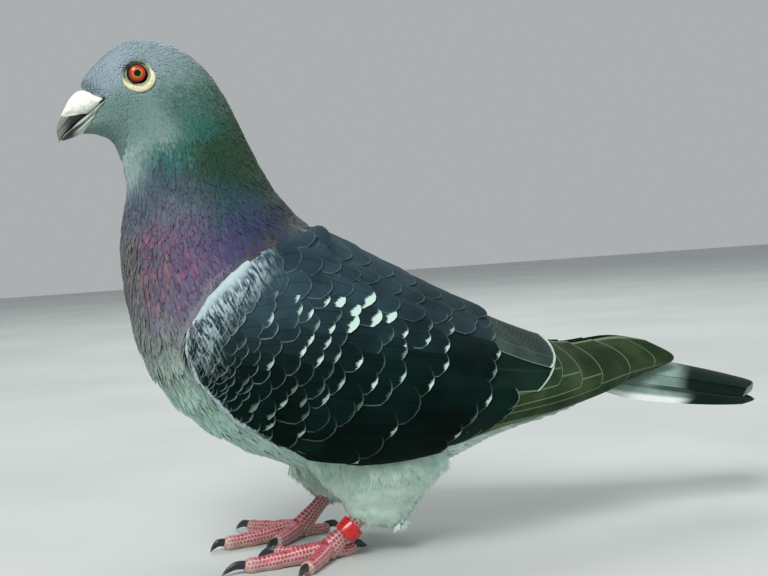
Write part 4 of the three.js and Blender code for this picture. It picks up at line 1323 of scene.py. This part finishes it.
def orbital_skin(side):
    """The lid and the bare skin round one eye: a closed ring that follows the head."""
    bearings = np.linspace(-math.pi, math.pi, 97)[:-1]
    head_side = EYE_CENTRE[1] + EYE_FLATTENING * math.sqrt(EYE_RADIUS ** 2 - LID_RADIUS ** 2)
    form = bmesh.new()
    rows = []
    for share, proud in ORBIT_SECTION:
        row = []
        for bearing in bearings:
            edge = np.interp(math.degrees(bearing), ORBIT_BEARINGS, ORBIT_REACH) * MM
            way = np.array([math.cos(bearing), math.sin(bearing)])
            x, z = (LID_CENTRE + way * LID_RADIUS) * (1 - share) + (RING_CENTRE + way * edge) * share
            hit = smooth_head.ray_cast(Vector((x, side * 0.05, z)), Vector((0, -side, 0)))[0]
            flat = abs(hit.y) if hit is not None else head_side
            level = head_side + (flat - head_side) * min(1.0, share / 0.4)
            ripple = 0.07 * math.sin(bearing * 26 + share * 9) * (0.2 < share < 0.95)
            row.append(form.verts.new((x, side * (level + (proud + ripple) * MM), z)))
        rows.append(row)
    rows.append([form.verts.new(vert.co - Vector((0, side * 1.6 * MM, 0))) for vert in rows[-1]])
    join_rows(form, rows + rows[:1])
    return finished(form, "orbit")


orbit_material, tree, shader = new_material("orbital_skin", Roughness=0.6, Subsurface_Weight=0.1,
                                            Subsurface_Scale=0.001)
place = tree.place()
right, high = place.part("X") - LID_CENTRE[0], place.part("Z") - LID_CENTRE[1]
radius = (right * right + high * high).apply("SQRT") * 1000
grains = place.noise(1100.0, 3.0, 0.6)
lower = (high * 1000 - right * 450 + (grains - 0.5) * 1.5).between(2.5, -2.0)
skin_tone = lower.toward(rgb("8d977a"), rgb("ddd3ae"))
skin_tone = (grains.between(0.55, 0.35) * 0.5).toward(skin_tone, rgb("a9a98c"))
lid = (radius + (grains - 0.5) * 0.3).between(5.1, 4.8)
skin_tone = lid.toward(skin_tone, rgb("8a9270"))
rim_tone = (radius + (grains - 0.5) * 0.2).between(3.85, 3.7)
feed(shader, "Base Color", rim_tone.toward(skin_tone, rgb("2b1f1a")))
feed(shader, "Normal", grains.bump(0.5, 0.0003))

smooth_head = search_form(outline)
for side, label in ((-1, "left"), (1, "right")):
    ball = new_piece(f"eye_{label}_ball", eyeball(side), eye_material)
    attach(ball, "root")
    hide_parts(f"eye_{label}")
    ring = new_piece(f"eye_{label}_orbit", orbital_skin(side), orbit_material)
    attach(ring, "root")


# ------------------------------------------------------------------ feet
# Shank and toes are clad in red horny scales with pale seams: broad plates along the top of each toe,
# small rounded ones on its sides and pads beneath.
ANKLE_HEIGHT, MIDDLE_TOE = 4.6, 38
TOE_PRESS = 0.8         # the height of a toe's middle line near its end, as a share of its thickness
# How far round a toe its top plates reach and how wide the scales beside them are, as shares of half a
# turn, and the length of both in millimetres.
TOP_SHARE, SIDE_SHARE, TOP_LENGTH, SIDE_LENGTH = 0.24, 0.17, 1.9, 1.6
FOOT_STEP, SCALE_RELIEF, LIMB_SAMPLES = 0.38 * MM, 0.34 * MM, 120
# The ankle's side and place, the shank's rise and the foot's turn in degrees, the bearings of the outer
# and the back toe in degrees, and the lengths of the inner and outer toe and of the middle claw.
FEET = {
    "left": {"side": -1, "x": -57, "y": -19.5, "rise": 40, "turn": 7,
             "spread": 49, "back": 198, "inner": 33, "outer": 33, "middle_claw": 9.5},
    "right": {"side": 1, "x": -61, "y": 26, "rise": 45, "turn": -12,
              "spread": 59, "back": 180, "inner": 30, "outer": 39, "middle_claw": 6}}


def toes_of(foot):
    """Name, bearing, length with claw, claw length, thickness and lift of each toe."""
    return [("middle", 0, MIDDLE_TOE + foot["middle_claw"], foot["middle_claw"], 3.6, 0),
            ("inner", -36, foot["inner"], 8, 3.4, 0), ("outer", foot["spread"], foot["outer"], 8, 3.4, 0),
            ("back", foot["back"], 21, 6.5, 2.7, 0.8)]


def along_toe(foot, bearing):
    """A function that gives the point of a toe at a distance from the foot's middle and a height."""
    heading = math.radians(bearing + foot["turn"])
    return lambda distance, z: (foot["x"] - distance * math.cos(heading),
                                foot["y"] + foot["side"] * distance * math.sin(heading), z)


def up_shank(foot, distance):
    """The point of a shank's middle line at a distance from the ankle."""
    rise = math.radians(foot["rise"])
    return foot["x"] + distance * math.cos(rise), foot["y"], ANKLE_HEIGHT + distance * math.sin(rise)


def limb_rings(path, radii, rings, squash=1.0):
    """Middle line, radius and cross directions of a limb at even steps, in metres."""
    shares = np.linspace(0, 1, rings)
    line = smooth_path(np.array(path, dtype=float), shares) * MM
    radius = smooth_path(np.array(radii, dtype=float)[:, None], shares)[:, 0] * MM
    tangent = unit(np.gradient(line, axis=0))
    across = unit(np.cross(tangent, [0, 0, 1]))
    over = np.cross(across, tangent)
    return line, radius, tangent, across * squash, over


def limb_form(form, path, radii, rings, sides, squash=1.0, knuckles=0.0):
    """Adds one rounded limb to a bmesh."""
    line, radius, tangent, across, over = limb_rings(path, radii, rings, squash)
    from_end = np.minimum(np.arange(rings), np.arange(rings)[::-1]) / (rings - 1)
    round_end = np.sqrt(np.clip(1 - (1 - np.clip(from_end * 9, 0, 1)) ** 2, 0, 1))
    swell = 1 + knuckles * np.cos(np.linspace(0, 1, rings) * 2 * math.pi * 3.5)
    angle = np.linspace(0, 2 * math.pi, sides, endpoint=False)
    reach = (radius * round_end * swell)[:, None, None]
    points = line[:, None] + reach * (np.cos(angle)[None, :, None] * across[:, None]
                                      + np.sin(angle)[None, :, None] * over[:, None])
    add_tube(form, points)


def foot_limbs(foot):
    """Paths and radii of the shank and the four toes."""
    limbs = [([up_shank(foot, d) for d in (-3, 3, 12, 26)], [4.8, 4.5, 3.5, 3.7], 0.85)]
    for _, bearing, length, claw, thick, lift in toes_of(foot):
        at = along_toe(foot, bearing)
        reach, height = length - claw, thick * TOE_PRESS
        path = [at(1.5, ANKLE_HEIGHT + 0.4), at(reach * 0.4, thick), at(reach * 0.75, height),
                at(reach, height + lift)]
        limbs.append((path, [share * thick for share in (1.1, 1, 0.92, 0.9)], 1.0))
    return limbs


def scaled_foot(label):
    """One foot as a smooth closed mesh with raised scales. Its values say how far each point is from a
    seam, how far round its limb, how near the worn end and how much it faces down, and give each scale a
    number of its own."""
    foot = FEET[label]
    form = bmesh.new()
    limbs = foot_limbs(foot)
    for number, (path, radii, squash) in enumerate(limbs):
        limb_form(form, path, radii, 40, 24, squash, knuckles=0.0 if number == 0 else 0.05)
    bmesh.ops.recalc_face_normals(form, faces=form.faces)
    mesh = fused(form, FOOT_STEP, 3)
    points, normals = (vectors_of(mesh.vertices, name) for name in ("co", "normal"))
    best, worn = np.full(len(points), np.inf), np.zeros(len(points))
    lengthwise, roundabout = np.zeros(len(points)), np.zeros(len(points))
    for number, (path, radii, squash) in enumerate(limbs):
        line, radius, tangent, across, over = limb_rings(path, radii, LIMB_SAMPLES, squash)
        distance = np.linalg.norm(points[:, None] - line, axis=2)
        nearest = (distance / radius).argmin(1)
        ratio = distance[np.arange(len(points)), nearest] / radius[nearest]
        steps = np.concatenate([[0], np.cumsum(np.linalg.norm(np.diff(line, axis=0), axis=1))]) / MM
        away = points - line[nearest]
        turn = np.arctan2((away * unit(across[nearest])).sum(1), (away * over[nearest]).sum(1))
        closer = ratio < best
        best = np.where(closer, ratio, best)
        within = (away * tangent[nearest]).sum(1) / MM
        lengthwise = np.where(closer, steps[nearest] + within, lengthwise)
        roundabout = np.where(closer, turn, roundabout)
        on_limb = nearest / (LIMB_SAMPLES - 1) if number else 0.2 - nearest / (2 * LIMB_SAMPLES)
        worn = np.where(closer, on_limb, worn)
    side = np.abs(roundabout) / math.pi
    on_top = side < TOP_SHARE
    plate_length = np.where(on_top, TOP_LENGTH, SIDE_LENGTH)
    cell_round = np.where(on_top, (roundabout / math.pi + TOP_SHARE) / (2 * TOP_SHARE),
                          (side - TOP_SHARE) / SIDE_SHARE)
    rank = np.floor(cell_round)
    offset = np.where(on_top, 0.12 * np.cos(roundabout * 2), 0.5 * (rank % 2))
    cell_long = lengthwise / plate_length + offset
    part_long, part_round = cell_long % 1 * 2 - 1, (cell_round - rank) * 2 - 1
    dome = np.clip(1 - np.abs(part_long) ** np.where(on_top, 2.4, 1.8), 0, 1)
    dome = dome * np.clip(1 - np.abs(part_round) ** np.where(on_top, 4, 3.0), 0, 1)
    raised = dome ** 0.6
    above_floor = np.clip((points[:, 2] - 0.3 * MM) / (1.2 * MM), 0, 1)
    points = points + normals * ((raised - 0.75) * SCALE_RELIEF * above_floor)[:, None]
    points[:, 2] = np.maximum(points[:, 2], 0)
    mesh.vertices.foreach_set("co", points.ravel())
    mesh.update()
    of_its_own = np.sin(np.floor(cell_long) * 12.99 + rank * 78.2 + np.where(on_top, 0, 7)) * 43.7
    give_values(mesh, scale=raised, side=side, worn=worn, under=np.clip(-normals[:, 2], 0, 1),
                cell=np.abs(of_its_own) % 1)
    mesh.shade_smooth()
    return mesh


foot_material, tree, shader = new_material("foot_scales", Roughness=0.5, Specular_IOR_Level=0.4)
value = tree.value
place = tree.place()
mottle = place.noise(350.0, 3.0)
scale_red = (value("cell") * 0.6 + mottle * 0.5).between(0.2, 0.8).toward(rgb("99293d"), rgb("b94b5c"))
seam = value("scale").between(0.66, 0.27)
sideways = (value("side") + (mottle - 0.5) * 0.25).between(0.2, 0.5)
tone = (sideways * 0.75).toward(scale_red, rgb("a5666b"))
beneath = (value("under") + (mottle - 0.5) * 0.4).between(0.1, 0.6)
tone = (beneath * 0.8).toward(tone, rgb("bf9d8c"))
faded = (value("worn") + (mottle - 0.5) * 0.3).between(0.72, 1.0) * 0.6
tone = faded.toward(tone, rgb("b3a49a"))
feed(shader, "Base Color", seam.toward(tone, rgb("d3b5b0")))
feed(shader, "Roughness", mottle * 0.2 + 0.4)
feed(shader, "Normal", place.noise(1500.0, 2.0).bump(0.3, 0.0003))

for label in FEET:
    piece = new_piece(f"foot_{label}", scaled_foot(label), foot_material)
    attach(piece, "root")
    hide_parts(f"tarsus_{label}", *[f"toe_{label}_{toe[0]}" for toe in toes_of(FEET[label])])


# ------------------------------------------------------------------ claws
# Curved horny claws grow from the toes' ends, dark and paler low down, near the floor.
claw_material, tree, shader = new_material("claw_horn", Roughness=0.35)
place = tree.place()
streaks = place.noise(900.0, 3.0)
low = (place.part("Z") * 1000 + (streaks - 0.5) * 1.2).between(1.9, 0.7)
feed(shader, "Base Color", (low * 0.8).toward(rgb("26292d"), rgb("8b8a84")))
feed(shader, "Normal", streaks.bump(0.2, 0.0002))


def claws(label):
    """The four claws of a foot, which start inside the ends of its toes and stay above the floor."""
    foot = FEET[label]
    form = bmesh.new()
    for _, bearing, length, claw, thick, lift in toes_of(foot):
        at = along_toe(foot, bearing)
        reach, height = length - claw, thick * TOE_PRESS + lift
        path = [at(reach - 2.5, height + 0.5), at(reach + claw * 0.25, height + 0.95),
                at(reach + claw * 0.62, height * 0.78 + 0.45), at(length, 0.3 + lift * 2)]
        limb_form(form, path, [1.9, 1.75, 1.2, 0.25], 28, 16, 0.75)
    bmesh.ops.recalc_face_normals(form, faces=form.faces)
    for vert in form.verts:
        vert.co.z = max(vert.co.z, 0)
    mesh = bpy.data.meshes.new("claws")
    form.to_mesh(mesh)
    form.free()
    mesh.shade_smooth()
    return mesh


for label in FEET:
    piece = new_piece(f"claws_{label}", claws(label), claw_material)
    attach(piece, "root")
    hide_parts(*[f"claw_{label}_{toe[0]}" for toe in toes_of(FEET[label])])


# ------------------------------------------------------------------ leg band
# A plain ring of red enamelled metal with rounded rims, closed round the left shank and a little
# scuffed.
BAND_RADIUS, BAND_WALL, BAND_HEIGHT, BAND_EDGE = 5.3, 0.8, 6.4, 0.3
BAND_PLACE, BAND_SLACK = 12, 0.3        # how far up the shank, and how far it hangs back and down
band_profile = []
for corner_r, corner_h, first in ((BAND_RADIUS, 1, 0), (BAND_RADIUS - BAND_WALL, 1, 90),
                                  (BAND_RADIUS - BAND_WALL, -1, 180), (BAND_RADIUS, -1, 270)):
    centre_r = corner_r + (-BAND_EDGE if corner_r == BAND_RADIUS else BAND_EDGE)
    centre_h = corner_h * (BAND_HEIGHT / 2 - BAND_EDGE)
    for step in range(5):
        bend = math.radians(first + step * 22.5)
        band_profile.append((centre_r + BAND_EDGE * math.cos(bend), centre_h + BAND_EDGE * math.sin(bend)))
foot = FEET["left"]
shank_rise = math.radians(foot["rise"])
band_axis = Vector((math.cos(shank_rise), 0, math.sin(shank_rise)))
band_up = Vector((-math.sin(shank_rise), 0, math.cos(shank_rise)))
band_side = Vector((0, 1, 0))
band_middle = Vector(up_shank(foot, BAND_PLACE)) + Vector((BAND_SLACK, 0, -BAND_SLACK))
form = bmesh.new()
band_rows = []
for step in range(96):
    turn = 2 * math.pi * step / 96
    spoke = band_side * math.cos(turn) + band_up * math.sin(turn)
    band_rows.append([form.verts.new((band_middle + spoke * out + band_axis * rise) * MM)
                      for out, rise in band_profile])
join_rows(form, band_rows + band_rows[:1])
band_mesh = finished(form, "leg_band_ring")
band_material, tree, shader = new_material("band_enamel", Roughness=0.3, Coat_Weight=0.4)
place = tree.place()
scuffs = place.noise(500.0, 4.0, 0.6)
feed(shader, "Base Color", scuffs.between(0.35, 0.6).toward(rgb("a80f14"), rgb("d3161b")))
feed(shader, "Roughness", scuffs * 0.3 + 0.15)
band = new_piece("leg_band_ring", band_mesh, band_material)
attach(band, "root")
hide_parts("leg_band")


bpy.context.view_layer.update()
